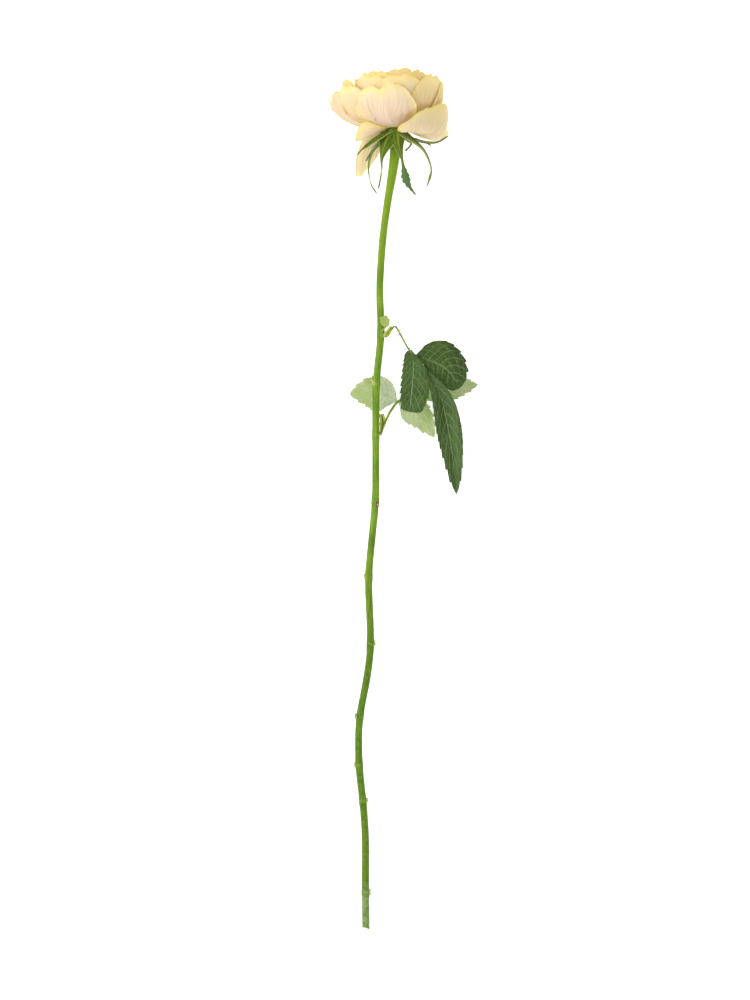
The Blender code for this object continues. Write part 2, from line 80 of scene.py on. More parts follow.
class Paint:
    # A material with one Principled shader, and the nodes that lead to it.
    def __init__(self, name, roughness, specular, sheen=0.0):
        self.material = bpy.data.materials.new(name)
        self.material.use_nodes = True
        self.tree = self.material.node_tree
        self.shader = self.tree.nodes["Principled BSDF"]
        self.shader.inputs["Roughness"].default_value = roughness
        self.shader.inputs["Specular IOR Level"].default_value = specular
        self.shader.inputs["Sheen Weight"].default_value = sheen

    def node(self, kind, settings, sockets, output=0):
        made = self.tree.nodes.new(kind)
        for key, value in (settings or {}).items():
            setattr(made, key, value)
        for key, value in (sockets or {}).items():
            self.plug(made.inputs[key], value)
        return Value(self, made.outputs[output])

    def plug(self, socket, value):
        if isinstance(value, Value):
            self.tree.links.new(value.socket, socket)
        elif isinstance(value, tuple) and len(value) == 3 and socket.type == "RGBA":
            socket.default_value = (*value, 1.0)
        else:
            socket.default_value = value

    def math(self, operation, a, b=0.0):
        return self.node("ShaderNodeMath", {"operation": operation}, {0: a, 1: b})

    def mix(self, share, a, b):
        return self.node("ShaderNodeMix", {"data_type": "RGBA"}, {0: share, 6: a, 7: b}, 2)

    def step(self, value, low, high):
        # 0 below low, 1 above high and smooth between them; falling where low is over high
        sockets = {"Value": value, "From Min": low, "From Max": high}
        return self.node("ShaderNodeMapRange", {"interpolation_type": "SMOOTHSTEP"}, sockets)

    def attribute(self, name):
        return self.node("ShaderNodeAttribute", {"attribute_name": name}, None, 2)

    def objectPlace(self, stretch=(1.0, 1.0, 1.0)):
        place = self.node("ShaderNodeTexCoord", None, None, 3)
        return self.node("ShaderNodeMapping", None, {"Vector": place, "Scale": stretch})

    def noise(self, vector, scale, detail):
        sockets = {"Vector": vector, "Scale": scale, "Detail": detail}
        return self.node("ShaderNodeTexNoise", None, sockets)

    def cells(self, vector, scale):
        # the way to the nearest edge between cells
        sockets = {"Vector": vector, "Scale": scale}
        return self.node("ShaderNodeTexVoronoi", {"feature": "DISTANCE_TO_EDGE"}, sockets)

    def combine(self, x, y, z):
        return self.node("ShaderNodeCombineXYZ", None, {0: x, 1: y, 2: z})

    def lines(self, phase, thin):
        # 1 on the middle of each line, at whole numbers of phase, falling to 0 beside it
        away = self.math("PINGPONG", phase, 0.5)
        return self.step(away, thin, 0.0)

    def bump(self, height, strength, distance):
        sockets = {"Height": height, "Strength": strength, "Distance": distance}
        return self.node("ShaderNodeBump", None, sockets)

    def dress(self, colour, roughness=None, normal=None):
        for name, value in (("Base Color", colour), ("Roughness", roughness), ("Normal", normal)):
            if value is not None:
                self.plug(self.shader.inputs[name], value)
        return self.material

    def letLightThrough(self, share, colour):
        # a thin tissue: part of the light passes through it, tinted
        through = self.node("ShaderNodeBsdfTranslucent", None, {"Color": colour})
        sockets = {0: share, 1: Value(self, self.shader.outputs[0]), 2: through}
        both = self.node("ShaderNodeMixShader", None, sockets)
        self.tree.links.new(both.socket, self.tree.nodes["Material Output"].inputs["Surface"])


def rgb(red, green, blue):
    # display values from 0 to 255, turned into linear light
    parts = np.array([red, green, blue]) / 255
    linear = np.where(parts <= 0.04045, parts / 12.92, ((parts + 0.055) / 1.055) ** 2.4)
    return tuple(float(part) for part in linear)


# Curves and meshes on grids

def unit(vectors):
    return vectors / np.linalg.norm(vectors, axis=-1, keepdims=True)


def smooth(x, low, high):
    # smoothstep 3s^2 - 2s^3 of s, the share of the way from low to high
    s = np.clip((x - low) / (high - low), 0, 1)
    return s * s * (3 - 2 * s)


def bezier(points, t):
    # cubic Bezier: s^3 a + 3 s^2 t b + 3 s t^2 c + t^3 d, where s is 1 - t
    a, b, c, d = np.asarray(points, float)
    t = t[..., None]
    s = 1 - t
    return s**3 * a + 3 * s**2 * t * b + 3 * s * t**2 * c + t**3 * d


def bezierRun(points, t):
    # direction of the same curve, from its derivative
    a, b, c, d = np.asarray(points, float)
    t = t[..., None]
    s = 1 - t
    return unit(s**2 * (b - a) + 2 * s * t * (c - b) + t**2 * (d - c))


def through(points, t):
    # Catmull-Rom spline through all the points, t from 0 to 1
    p = np.asarray(points, float)
    p = np.vstack([2 * p[0] - p[1], p, 2 * p[-1] - p[-2]])
    spans = len(p) - 3
    along = np.clip(t * spans, 0, spans - 1e-9)
    span = along.astype(int)
    f = (along - span)[..., None]
    a, b, c, d = (p[span + k] for k in range(4))
    return b + 0.5 * f * (c - a + f * (2 * a - 5 * b + 4 * c - d + f * (3 * (b - c) + d - a)))


def throughRun(points, t):
    # direction of the spline, from a short chord
    reach = 0.001
    ahead = through(points, np.clip(t + reach, 0, 1))
    return unit(ahead - through(points, np.clip(t - reach, 0, 1)))


def grid(rows, columns):
    # u runs from 0 to 1 down the rows, v from -1 to 1 across the columns
    return np.meshgrid(np.linspace(0, 1, rows), np.linspace(-1, 1, columns), indexing="ij")


def wobble(x, seed, waves=5):
    # a smooth random curve: a sum of sines of rising frequency and falling height, drawn from the seed
    draw = np.random.default_rng(seed)
    total = np.zeros_like(x, dtype=float)
    for k in range(waves):
        frequency = 2.0 * (k + 1) * draw.uniform(0.8, 1.2)
        total += np.sin(frequency * x + draw.uniform(0, 2 * math.pi)) / (k + 1)
    return total / 1.6


def bladeMesh(points, thickness, facing=1):
    # a closed leaf of tissue: the sheet pushed half its thickness to either side, joined round its edge
    rows, columns = points.shape[:2]
    count = rows * columns
    normal = facing * unit(np.cross(np.gradient(points, axis=1), np.gradient(points, axis=0)))
    half = normal * (np.broadcast_to(thickness, (rows, columns))[..., None] / 2)
    vertices = np.concatenate([(points + half).reshape(-1, 3), (points - half).reshape(-1, 3)])
    index = np.arange(count).reshape(rows, columns)
    a, b, c, d = (k.ravel() for k in (index[:-1, :-1], index[1:, :-1], index[1:, 1:], index[:-1, 1:]))
    front = np.stack([a, d, c, b], 1)
    back = front[:, ::-1] + count
    loop = np.concatenate([index[0, :-1], index[:-1, -1], index[-1, :0:-1], index[:0:-1, 0]])
    after = np.roll(loop, -1)
    edge = np.stack([after, loop, loop + count, after + count], 1)
    faces = np.concatenate([front, back, edge])
    return vertices, faces if facing > 0 else faces[:, ::-1]


def onBothSides(values):
    # the values of a grid, given to both faces of its blade
    return np.concatenate([values.ravel(), values.ravel()])


def tubeMesh(path, radii, sides):
    # rings of the given radii round the path, and a point at the middle of each end
    rows = len(path)
    run = unit(np.gradient(path, axis=0))
    side = unit(np.cross(run, (0.0, 0.02, 1.0)))
    top = np.cross(side, run)
    turn = np.linspace(0, 2 * math.pi, sides, endpoint=False)
    radii = np.broadcast_to(np.asarray(radii, float).reshape(rows, -1), (rows, sides))[..., None]
    ring = np.cos(turn)[None, :, None] * side[:, None] + np.sin(turn)[None, :, None] * top[:, None]
    vertices = np.concatenate([(path[:, None] + radii * ring).reshape(-1, 3), path[:1], path[-1:]])
    index = np.arange(rows * sides).reshape(rows, sides)
    beside = np.roll(index, -1, axis=1)
    quads = np.stack([index[:-1], index[1:], beside[1:], beside[:-1]], -1).reshape(-1, 4)
    foot = np.stack([index[0], beside[0], np.full(sides, rows * sides)], 1)
    head = np.stack([beside[-1], index[-1], np.full(sides, rows * sides + 1)], 1)
    return vertices, quads.tolist() + foot.tolist() + head.tolist()


def turnedMesh(profile, steps, sides):
    # the spline through (radius, height) turned round +Z, from its top pole down to its lower one
    line = through(profile, np.linspace(0, 1, steps))
    turn = np.linspace(0, 2 * math.pi, sides, endpoint=False)
    radius = np.maximum(line[:, :1], 0.01)
    ring = np.stack([radius * np.cos(turn), radius * np.sin(turn), np.repeat(line[:, 1:], sides, 1)], -1)
    index = np.arange(steps * sides).reshape(steps, sides)
    beside = np.roll(index, -1, axis=1)
    quads = np.stack([index[:-1], index[1:], beside[1:], beside[:-1]], -1).reshape(-1, 4)
    caps = [index[0].tolist(), index[-1, ::-1].tolist()]
    return ring.reshape(-1, 3), quads.tolist() + caps


def joined(meshes):
    # several meshes as the vertices and faces of one
    vertices, faces, start = [], [], 0
    for points, polygons in meshes:
        vertices.append(points)
        faces += [[k + start for k in face] for face in polygons]
        start += len(points)
    return np.concatenate(vertices), faces


def addPiece(name, vertices, faces, node, material, attributes=None, place=None):
    if place is not None:
        turned = np.array(place)
        vertices = vertices @ turned[:3, :3].T + turned[:3, 3] / mm
    mesh = bpy.data.meshes.new(name)
    mesh.from_pydata((vertices * mm).tolist(), [], faces if isinstance(faces, list) else faces.tolist())
    mesh.polygons.foreach_set("use_smooth", np.ones(len(mesh.polygons), dtype=bool))
    mesh.set_sharp_from_angle(angle=math.radians(50))
    for key, values in (attributes or {}).items():
        layer = mesh.attributes.new(key, "FLOAT", "POINT")
        layer.data.foreach_set("value", np.asarray(values, dtype=np.float32))
    mesh.materials.append(material)
    made = bpy.data.objects.new(name, mesh)
    bpy.context.scene.collection.objects.link(made)
    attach(made, "root")
    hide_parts(node)
    return made


# Bloom: its own frame has +Z along its axis, and azimuth counts from -Y towards +X

offBlade = 9.0  # a share that no point of a blade has, for marks that it lacks
bloomPlace = {"base": (-5.6, 259.8, 35.1), "nod": 4.0, "lean": 2.0}
bloomLook = {
    "bowlStep": 1.2,
    "thickness": 0.45,
    "rows": 52,
    "columns": 48,
    "innerPetals": 23,
    "innerRadii": (3.6, 30.5),
    "goldenAngle": 137.5,
    "ruffle": 0.5,
    "flare": 1.3,
    "furrows": 0.5,
    "roots": [(0.01, 21), (12, 20), (20, 17.5), (22.5, 14.5), (20.5, 11.2), (16.5, 8.6), (9, 6.8), (6, 2.0),
              (0.01, 0.9)],
}
# Azimuth is in degrees and width in millimetres, round the widest row. A petal stands on the bowl of its
# number, counted inwards, with its rim at (radius, height), or has its own profile. cup is its own radius and
# roll turns it about its middle line, in degrees. mark is the place (along, across) of a brown fleck.
outerPetals = [
    {"azimuth": -34, "width": 50, "bowl": 3, "rim": (29.0, 37.0), "corners": 0.16},
    {"azimuth": 112, "width": 42, "bowl": 3, "rim": (29.0, 37.0)},
    {"azimuth": -136, "width": 42, "bowl": 3, "rim": (29.0, 37.0)},
    {"azimuth": 6, "width": 54, "bowl": 2, "rim": (31.0, 35.8), "corners": 0.16, "paintedGlow": 0.9},
    {"azimuth": 162, "width": 42, "bowl": 2, "rim": (30.5, 35.0)},
    {"azimuth": -78, "width": 46, "bowl": 2, "rim": (35.2, 35.6), "spiral": -1.0, "corners": 0.15,
     "warmth": 1.0, "edge": 0.3},
    {"azimuth": 56, "width": 50, "bowl": 1, "rim": (32.0, 35.8), "corners": 0.2, "green": 0.2,
     "yellow": 0.6, "paintedGlow": 0.5},
    {"azimuth": 130, "width": 40, "bowl": 1, "rim": (32.0, 32.5), "green": 0.6},
    {"azimuth": -162, "width": 44, "bowl": 1, "rim": (32.0, 31.5)},
    {"azimuth": -60, "width": 50, "bowl": 1, "rim": (37.6, 30.6), "spiral": -2.4, "corners": 0.27,
     "ragged": 0.001, "tan": 0.2, "paintedGlow": 1.0},
    {"azimuth": 83, "width": 38, "bowl": 0, "rim": (32.6, 33.0), "green": 0.4, "yellow": 0.9},
    {"azimuth": 176, "width": 44, "bowl": 0, "rim": (34.5, 28.5)},
    {"azimuth": -16, "width": 55, "bowl": 0, "rim": (35.5, 29.8), "notch": 0.08, "corners": 0.17,
     "blush": 1.0, "mark": (0.43, -0.4)},
    {"azimuth": -120, "width": 38, "profile": [(4, 0.8), (26, 0), (51, 9), (45, 31)], "blush": 0.8,
     "warmth": -0.15, "ruffle": 4.0, "scallop": 0.05, "edge": 0.3, "pale": 1.0, "corners": 0.2},
    {"azimuth": 54, "width": 58, "corners": 0.12, "slant": 0.09, "spiral": 3.0, "ragged": 0.01,
     "profile": [(4, 1.2), (20, -7), (39.4, -13), (33.6, 15)], "blush": 0.3, "green": 0.35,
     "tan": 0.25, "paintedGlow": 0.7},
    {"azimuth": 98, "width": 36, "cup": 26, "roll": -15, "profile": [(4, 1.2), (18, -6), (33, -11), (37, -2)],
     "green": 1.0},
    {"azimuth": -72, "width": 31, "cup": 13, "roll": 17, "slant": 0.16, "corners": 0.15,
     "profile": [(4, 0.8), (12, -2), (21, -8.5), (30.5, -8)], "blush": 0.8},
    {"azimuth": -116, "width": 15, "cup": 30, "roll": 62, "ragged": 0.012, "corners": 0.12, "slant": 0.13,
     "profile": [(4, 0.8), (14, 1.5), (23, -10), (24.8, -30)], "green": 0.9, "tan": 1.0},
]
# shares of each tint where a petal names no other; a dull tan is painted shade, and near-white and a deep
# orange glow are painted light
usualTints = {
    "warmth": 0.0,
    "blush": 0.35,
    "green": 0.0,
    "yellow": 0.0,
    "tan": 0.0,
    "pale": 0.0,
    "paintedGlow": 0.2,
    "edge": 1.0,
}


def bloomFrame():
    turn = Matrix.Rotation(math.radians(bloomPlace["lean"]), 4, "Z")
    tip = Matrix.Rotation(-math.radians(90 + bloomPlace["nod"]), 4, "X")
    return Matrix.Translation(Vector(bloomPlace["base"]) * mm) @ turn @ tip


def petalReach(petal, u, v, seed):
    # How far along the profile each point lies: u less 1.5 corners u^2 (1 - sqrt(1 - 0.96 v^2)), which rounds
    # the corners, and less a bell in the middle of the rim for its notch, with nicks, a skew and a slant.
    skew = math.sin(7.0 * seed) * 0.025 * v * u**2
    nicks = petal.get("ragged", 0.003) * u**12 * (wobble(5 * v, seed, 5) - 1)
    rounded = 1.5 * petal.get("corners", 0.28) * u**2 * (1 - np.sqrt(1 - 0.96 * v**2))
    notch = petal.get("notch", 0.02) * u**4 * np.exp(-((v / 0.2) ** 2))
    return u - rounded - notch + nicks + skew + petal.get("slant", 0.0) * v * u**3


def petalLift(petal, u, v, seed):
    # How far each point stands off its face: a spiral that lifts one edge, waves and ruffles that grow to the
    # rim as u^4 and u^6, furrows that are deepest half way, and a rim that flares on a smoothstep.
    turn = math.radians(petal["azimuth"])
    lift = petal.get("spiral", 0.15) * v * u + 0.3 * u**4 * np.sin(7 * v + 3 * turn)
    ruffle = bloomLook["ruffle"] * petal.get("ruffle", 1.0)
    lift = lift + ruffle * u**6 * wobble(2.2 * v, seed + 1, 4)
    lift = lift + bloomLook["furrows"] * np.sin(math.pi * u) ** 0.7 * wobble(5 * v + 0.6 * u, seed + 2, 5)
    return lift + bloomLook["flare"] * petal.get("flare", 0.5) * smooth(u, 0.80, 1.0) ** 2


def petalSheet(petal, u, v, seed):
    # The middle line is a Bezier profile in a plane through the axis. Each row is an arc round the axis,
    # or round the petal's own cup: point = spine + radius (across sin a + inward (1 - cos a)) + face lift.
    turn = math.radians(petal["azimuth"])
    t = petalReach(petal, u, v, seed)
    inset = petal.get("bowl", 0) * bloomLook["bowlStep"]
    belly = (38.5 - 1.15 * inset, 8 + 0.7 * inset)
    bowl = [(4, 0.8 + inset), (21, 0.6 + inset), belly, petal.get("rim", (0, 0))]
    profile = petal.get("profile") or bowl
    middle, run = bezier(profile, t), bezierRun(profile, t)
    outward = np.array([math.sin(turn), -math.cos(turn), 0.0])
    sideways = np.array([math.cos(turn), math.sin(turn), 0.0])
    axis = np.array([0.0, 0.0, 1.0])
    spine = middle[..., :1] * outward + middle[..., 1:] * axis
    face = run[..., 1:] * outward - run[..., :1] * axis
    if "cup" in petal:
        roll = math.radians(petal.get("roll", 0.0)) * np.clip(1.5 * u, 0, 1)[..., None]
        across = np.cos(roll) * sideways - np.sin(roll) * face
        face = np.cos(roll) * face + np.sin(roll) * sideways
        radius = petal["cup"]
        inward = -face
        share = 0.17 * (1 - u) ** 2 + np.sin(math.pi * 0.62 * u**1.15)
        angle = petal["width"] / 2 * share / radius
    else:
        across = sideways
        radius = middle[..., :1]
        inward = -outward
        widest = bezier(profile, np.array([0.7]))[0, 0]
        share = 0.8 + 0.2 * np.sin(math.pi * np.clip(u / 1.1, 0, 1)) - 0.12 * u**6
        angle = petal["width"] / 2 / widest * share
    angle = angle * (1 + petal.get("scallop", 0.0) * np.abs(v) ** 3 * wobble(14 * u, seed + 3, 3))
    angle = (angle * v)[..., None]
    lift = petalLift(petal, u, v, seed)[..., None]
    return spine + radius * (across * np.sin(angle) + inward * (1 - np.cos(angle))) + face * lift


def innerPetals():
    # cupped petals on nested bowls, each a golden angle on from the last and a little wider out
    first, last = bloomLook["innerRadii"]
    count = bloomLook["innerPetals"]
    draw = np.random.default_rng(7)
    made = []
    for i in range(count):
        share = (i / (count - 1)) ** 0.92
        radius = first + (last - first) * share
        top = 39 + 4 * math.sin(math.pi * share) - 1.5 * share + draw.uniform(-0.8, 0.5)
        made.append({
            "azimuth": 20 + i * bloomLook["goldenAngle"] + draw.uniform(-5, 5),
            "width": min(12 + 1.5 * radius, 43),
            "profile": [(1.2 + 0.1 * radius, 7 + 3 * (1 - share)), (0.62 * radius, 7 + 6 * (1 - share)),
                        (1.12 * radius, 0.4 * top), (0.9 * radius, top)],
            "warmth": 1 - 0.25 * share,
            "corners": 0.28 - 0.14 * share,
            "flare": 1.1 * share,
            "notch": 0.03,
            "ruffle": 1.2,
        })
    return made


def laidDown(points, lowest):
    # what would reach under the surface lies on it
    frameNumbers = np.array(bloomFrame())
    up = frameNumbers[2, :3]
    height = points @ up + frameNumbers[2, 3] / mm
    return points + np.maximum(lowest - height, 0.0)[..., None] * up


petalColours = {
    "cream": rgb(248, 240, 212),
    "blush": rgb(248, 230, 219),
    "lemon": rgb(250, 234, 152),
    "rimGreen": rgb(222, 222, 96),
    "apricot": rgb(255, 207, 126),
    "paintedGlow": rgb(250, 192, 92),
    "gold": rgb(252, 216, 124),
    "vein": rgb(216, 160, 134),
    "claw": rgb(232, 224, 150),
    "greenish": rgb(218, 222, 166),
    "brown": rgb(166, 92, 46),
    "tan": rgb(186, 182, 146),
    "pale": rgb(255, 252, 246),
    "rootGold": rgb(244, 196, 84),
    "rootLemon": rgb(226, 206, 110),
}


def petalVeins(paint, along, across, drift):
    # veins fan out from the claw as lines of constant across / (0.75 along + 0.28), and fork on their way
    bend = (drift - 0.5) * 2.4
    fan = across / (along * 0.75 + 0.28)
    stems = paint.lines(fan * 6.0 + bend, 0.2) * paint.step(along, 0.0, 0.25)
    forks = paint.lines(fan * 13.0 + bend * 2.6, 0.26) * paint.step(along, 0.25, 0.55) * 0.8
    twigs = paint.lines(fan * 31.0 + bend * 7.0, 0.30) * paint.step(along, 0.45, 0.8) * 0.5
    return paint.math("MAXIMUM", stems, paint.math("MAXIMUM", forks, twigs)) * paint.step(along, 1.0, 0.7)


def petalPaint():
    # Colour follows the petal's own shares: along from claw to rim and across from edge to edge. margin is
    # the way to the nearest edge in millimetres, inner is 1 on the face turned to the heart.
    paint = Paint("petalTissue", roughness=0.55, specular=0.25, sheen=0.1)
    colours = petalColours
    along, across, margin, inner, mark, seed = (
        paint.attribute(name) for name in ("along", "across", "margin", "inner", "mark", "seed"))
    warmth, blush, green, yellow, tan, pale, paintedGlow, edge = (paint.attribute(name) for name in usualTints)
    cloud = paint.noise(paint.objectPlace(), 70.0, 3.0)
    drift = paint.noise(paint.combine(across * 1.6 + seed, along * 2.2, seed), 1.0, 1.0)
    net = petalVeins(paint, along, across, drift)
    back = paint.mix(blush * paint.step(along, 0.95, 0.4) * paint.step(cloud, 0.25, 0.6), colours["cream"],
                     colours["blush"])
    back = paint.mix(green * paint.step(cloud, 0.2, 0.7), back, colours["greenish"])
    back = paint.mix(warmth * 0.85, back, colours["apricot"])
    back = paint.mix(paint.step(along, 0.22, 0.0) * 0.8, back, colours["claw"])
    front = paint.mix(warmth * 0.5 + 0.1, colours["cream"], colours["apricot"])
    front = paint.mix(paint.step(along, 0.3, 0.02) * 0.35, front, colours["gold"])
    patches = paint.step(paint.noise(paint.objectPlace(), 32.0, 2.0), 0.48, 0.7)
    back = paint.mix(paint.math("MAXIMUM", yellow, patches * 0.4), back, colours["lemon"])
    # painted shade: petals that hang or turn away from the light are dulled towards a darker tan
    back = paint.mix(tan, back, colours["tan"])
    # painted light: the left outer petal is mixed towards near-white, lifting the shade its neighbours cast
    # on it
    colour = paint.mix(pale, paint.mix(inner, back, front), colours["pale"])
    colour = paint.mix(net * paint.step(cloud, 0.15, 0.5) * (0.5 - inner * 0.2), colour, colours["vein"])
    broad = paint.step(margin + drift * 5.0, 12.0, 2.0)
    colour = paint.mix(broad * edge * (0.7 - green * 0.5), colour, colours["lemon"])
    rim = paint.step(margin, 1.5, 0.3) * paint.step(drift, 0.2, 0.5)
    colour = paint.mix(rim * 0.8, colour, colours["rimGreen"])
    # painted glow: deep orange along the side edges stands in for light passing through and bouncing between
    # the petals
    side = paint.step(paint.math("ABSOLUTE", across), 0.7, 0.95) * paint.step(margin, 3.2, 0.4)
    colour = paint.mix(side * paintedGlow * 0.8, colour, colours["paintedGlow"])
    specks = paint.noise(paint.objectPlace(), 380.0, 1.0)
    scorch = paint.step(specks, 0.70, 0.74) * paint.step(margin, 1.6, 0.4)
    colour = paint.mix(paint.math("MAXIMUM", scorch * 0.8, mark * (1 - inner)), colour, colours["brown"])
    grain = paint.noise(paint.combine(across * 50.0, along * 8.0, seed), 1.0, 2.0)
    normal = paint.bump(grain * 0.4 - net * 0.5 + cloud * 0.4, 0.3, 0.0006)
    paint.dress(colour, 0.62 - grain * 0.16, normal)
    paint.letLightThrough(0.48 + warmth * 0.15, rgb(255, 246, 224))
    return paint.material


def petalMargin(sheet):
    # the way along each line of the grid to the nearer of the edge and the rim, in millimetres
    over = np.linalg.norm(np.diff(sheet, axis=1), axis=2)
    gone = np.concatenate([np.zeros((len(sheet), 1)), np.cumsum(over, axis=1)], 1)
    sideways = np.minimum(gone, gone[:, -1:] - gone)
    outwards = np.linalg.norm(np.diff(sheet, axis=0), axis=2)
    left = np.cumsum(outwards[::-1], axis=0)[::-1]
    return np.minimum(sideways, np.concatenate([left, np.zeros((1, sheet.shape[1]))]))


def makeBloom():
    material = petalPaint()
    place = bloomFrame()
    petals = innerPetals() + outerPetals
    u, v = grid(bloomLook["rows"], bloomLook["columns"])
    rim = np.maximum(smooth(u, 0.7, 1.0), smooth(np.abs(v), 0.66, 1.0) * smooth(u, 0.1, 0.5))
    thickness = bloomLook["thickness"] * (1 - 0.6 * rim) * (1 + 0.8 * smooth(u, 0.3, 0.0))
    for number, petal in enumerate(petals):
        sheet = petalSheet(petal, u, v, 100 + 10 * number)
        inset = 0.8 * bloomLook["bowlStep"] * petal.get("bowl", 0)
        sheet = laidDown(sheet, bloomLook["thickness"] / 2 + inset)
        vertices, faces = bladeMesh(sheet, thickness)
        attributes = {
            "along": onBothSides(u),
            "across": onBothSides(v),
            "margin": onBothSides(petalMargin(sheet)),
            "inner": np.repeat([0.0, 1.0], u.size),
        }
        for key, usual in usualTints.items():
            attributes[key] = np.full(2 * u.size, petal.get(key, usual))
        atU, atV = petal.get("mark", (offBlade, offBlade))
        mark = np.exp(-(((u - atU) / 0.03) ** 2) - ((v - atV - u + atU) / 0.04) ** 2)
        attributes["mark"] = onBothSides(mark)
        attributes["seed"] = np.full(2 * u.size, 3.7 * number % 19)
        addPiece(f"petal_{number:02d}", vertices, faces, "bloom", material, attributes, place)
    print("bloom:", len(petals), "petals")


def makeHeart():
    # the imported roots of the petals, which only show as a shade between them
    vertices, faces = turnedMesh(bloomLook["roots"], 40, 48)
    paint = Paint("petalRoots", roughness=0.7, specular=0.2)
    cloud = paint.noise(paint.objectPlace(), 300.0, 2.0)
    material = paint.dress(paint.mix(cloud, petalColours["rootGold"], petalColours["rootLemon"]))
    addPiece("petal_roots", vertices, faces, "bloom", material, None, bloomFrame())


# Calyx: the receptacle and its five sepals, bent back down along the stem, with their side lobes

calyxLook = {
    "thickness": 0.85,
    "rows": 76,
    "columns": 17,
    "tail": 1.25,
    "leafyWidth": 4.6,
    "fold": 0.5,
    "receptacle": [(0.01, 0.2), (5.4, 0.1), (6.7, -0.9), (6.3, -3.0), (5.2, -5.6), (4.3, -8.0), (3.9, -10.5),
                   (0.01, -11.0)],
}
# Middle lines are in the bloom's frame. narrow, leafy and paleAt are shares of the way along: where the blade
# has become a thread, where its leafy tip is widest and where it shows its pale inner side.
sepals = [
    {"line": [(-5.2, -2.6, -1.4), (-12, -8, -5), (-19, -10.5, -10), (-24, -10.5, -14.5),
              (-27.5, -9.5, -18.5)],
     "width": 9.0, "narrow": 0.9},
    {"line": [(-4.6, 3.8, -1.8), (-11, 5, -7), (-17.6, 4, -15), (-20, 3, -26.5), (-18.6, 2.5, -38),
              (-14.8, 2, -45)],
     "width": 6.5, "paleAt": 0.74, "paleReach": 0.05},
    {"line": [(-3.4, -5.8, -0.9), (-7.6, -9.2, -11), (-10.4, -9.8, -21), (-11.0, -9.5, -31),
              (-13.6, -8, -43)],
     "width": 13.0, "narrow": 0.62, "paleAt": 0.73, "sideways": 0.25},
    {"line": [(1.4, -6.8, -0.7), (1.6, -9.2, -11), (3.4, -9.4, -20.5), (5.2, -9.2, -31), (7.8, -8.8, -40),
              (12.6, -8, -48.2)],
     "width": 10.0, "narrow": 0.5, "leafy": 0.72, "leafyReach": 0.15, "teeth": 1.0, "sideways": 0.4},
    {"line": [(5.4, -4.4, -0.9), (12.3, -4, -7.8), (19.6, -5, -16), (23.6, -5, -26.5), (23.6, -4, -34.5),
              (20.2, -3, -42)],
     "width": 10.0, "narrow": 0.7, "leafy": 0.86, "leafyReach": 0.12, "paleAt": 0.42, "paleReach": 0.26,
     "paleSide": 1.0},
    {"line": [(-13.6, 4.9, -10.5), (-17.8, 2.5, -15.5), (-21.6, 0, -22)], "width": 2.6},
    {"line": [(4.6, -4.6, -5.5), (8.4, -6, -9.2), (10.7, -6.2, -11), (9.4, -6.4, -13.6), (6.0, -6.4, -16.6)],
     "width": 1.6},
    {"line": [(10, 1.5, -6), (18, 1, -9), (24.6, 1, -12.6)], "width": 2.6},
    {"line": [(5, 3, -3), (16, 9, -7.8), (28, 11, -9.6), (36.8, 11, -5.6)], "width": 3.0},
    {"line": [(-0.6, -6.0, -8.6), (-1.4, -7.0, -13), (-2.6, -7.2, -16.5)], "width": 1.8},
]
greenColours = {
    "stem": rgb(90, 124, 22),
    "stemLight": rgb(122, 152, 42),
    "stemDark": rgb(66, 102, 8),
    "stemDeep": rgb(46, 76, 8),
    "neck": rgb(126, 154, 30),
    "bloomOnStem": rgb(124, 150, 92),
    "cut": rgb(216, 214, 166),
    "pith": rgb(232, 232, 204),
    "bark": rgb(140, 84, 50),
    "scar": rgb(196, 196, 126),
    "scarBrown": rgb(96, 62, 34),
    "sepal": rgb(106, 132, 18),
    "sepalDark": rgb(56, 84, 8),
    "sepalLight": rgb(160, 180, 66),
    "sepalLeafy": rgb(88, 120, 70),
    "felt": rgb(204, 208, 154),
    "leaf": rgb(28, 58, 4),
    "leafLight": rgb(46, 78, 12),
    "leafPaintedSheen": rgb(104, 130, 88),
    "leafVein": rgb(150, 170, 118),
    "pale": rgb(188, 204, 138),
    "paleLight": rgb(216, 226, 182),
    "paintedLightColour": rgb(240, 248, 222),
    "young": rgb(176, 190, 98),
    "youngLight": rgb(190, 204, 120),
    "paleVein": rgb(160, 182, 98),
    "stalk": rgb(92, 118, 32),
    "stalkYellow": rgb(146, 158, 58),
    "stipule": rgb(196, 200, 96),
}


def sepalSheet(sepal, u, v):
    # A narrow blade along its middle line with its back to the stem. Its width falls on a smoothstep from a
    # broad foot to a thread, with a bell of extra width for a leafy tip, and closes at both ends. Both halves
    # fold down from a rounded keel: drop = fold half (sqrt(v^2 + 0.02) - 0.14).
    middle, run = through(sepal["line"], u), throughRun(sepal["line"], u)
    out = middle * (sepal.get("sideways", 1.0), 1, 0) + (0, 0, 4)
    side = unit(np.cross(run, out))
    face = np.cross(side, run)
    width = sepal["width"] * (1 - smooth(u, 0.02, sepal.get("narrow", 0.78))) + calyxLook["tail"]
    if "leafy" in sepal:
        reach = sepal.get("leafyReach", 0.09)
        width = width + calyxLook["leafyWidth"] * np.exp(-(((u - sepal["leafy"]) / reach) ** 2))
    phase = (u * 13) % 1.0
    saw = np.where(phase < 0.75, phase / 0.75, (1 - phase) / 0.25)
    teeth = sepal.get("teeth", 0.0) * smooth(u, 0.5, 0.6) * (saw - 0.3) * 0.4 * np.abs(v) ** 6
    half = np.minimum(width, 0.2 + 26 * (1 - u)) / 2 * (1 + teeth)
    drop = calyxLook["fold"] * half * (np.sqrt(v**2 + 0.02) - 0.14)
    curl = 0.35 * np.sin(11 * u + 3 * sepal["width"]) * smooth(u, 0.3, 0.9)
    return middle + side * (half * v)[..., None] + face * (curl * v * half - drop)[..., None]


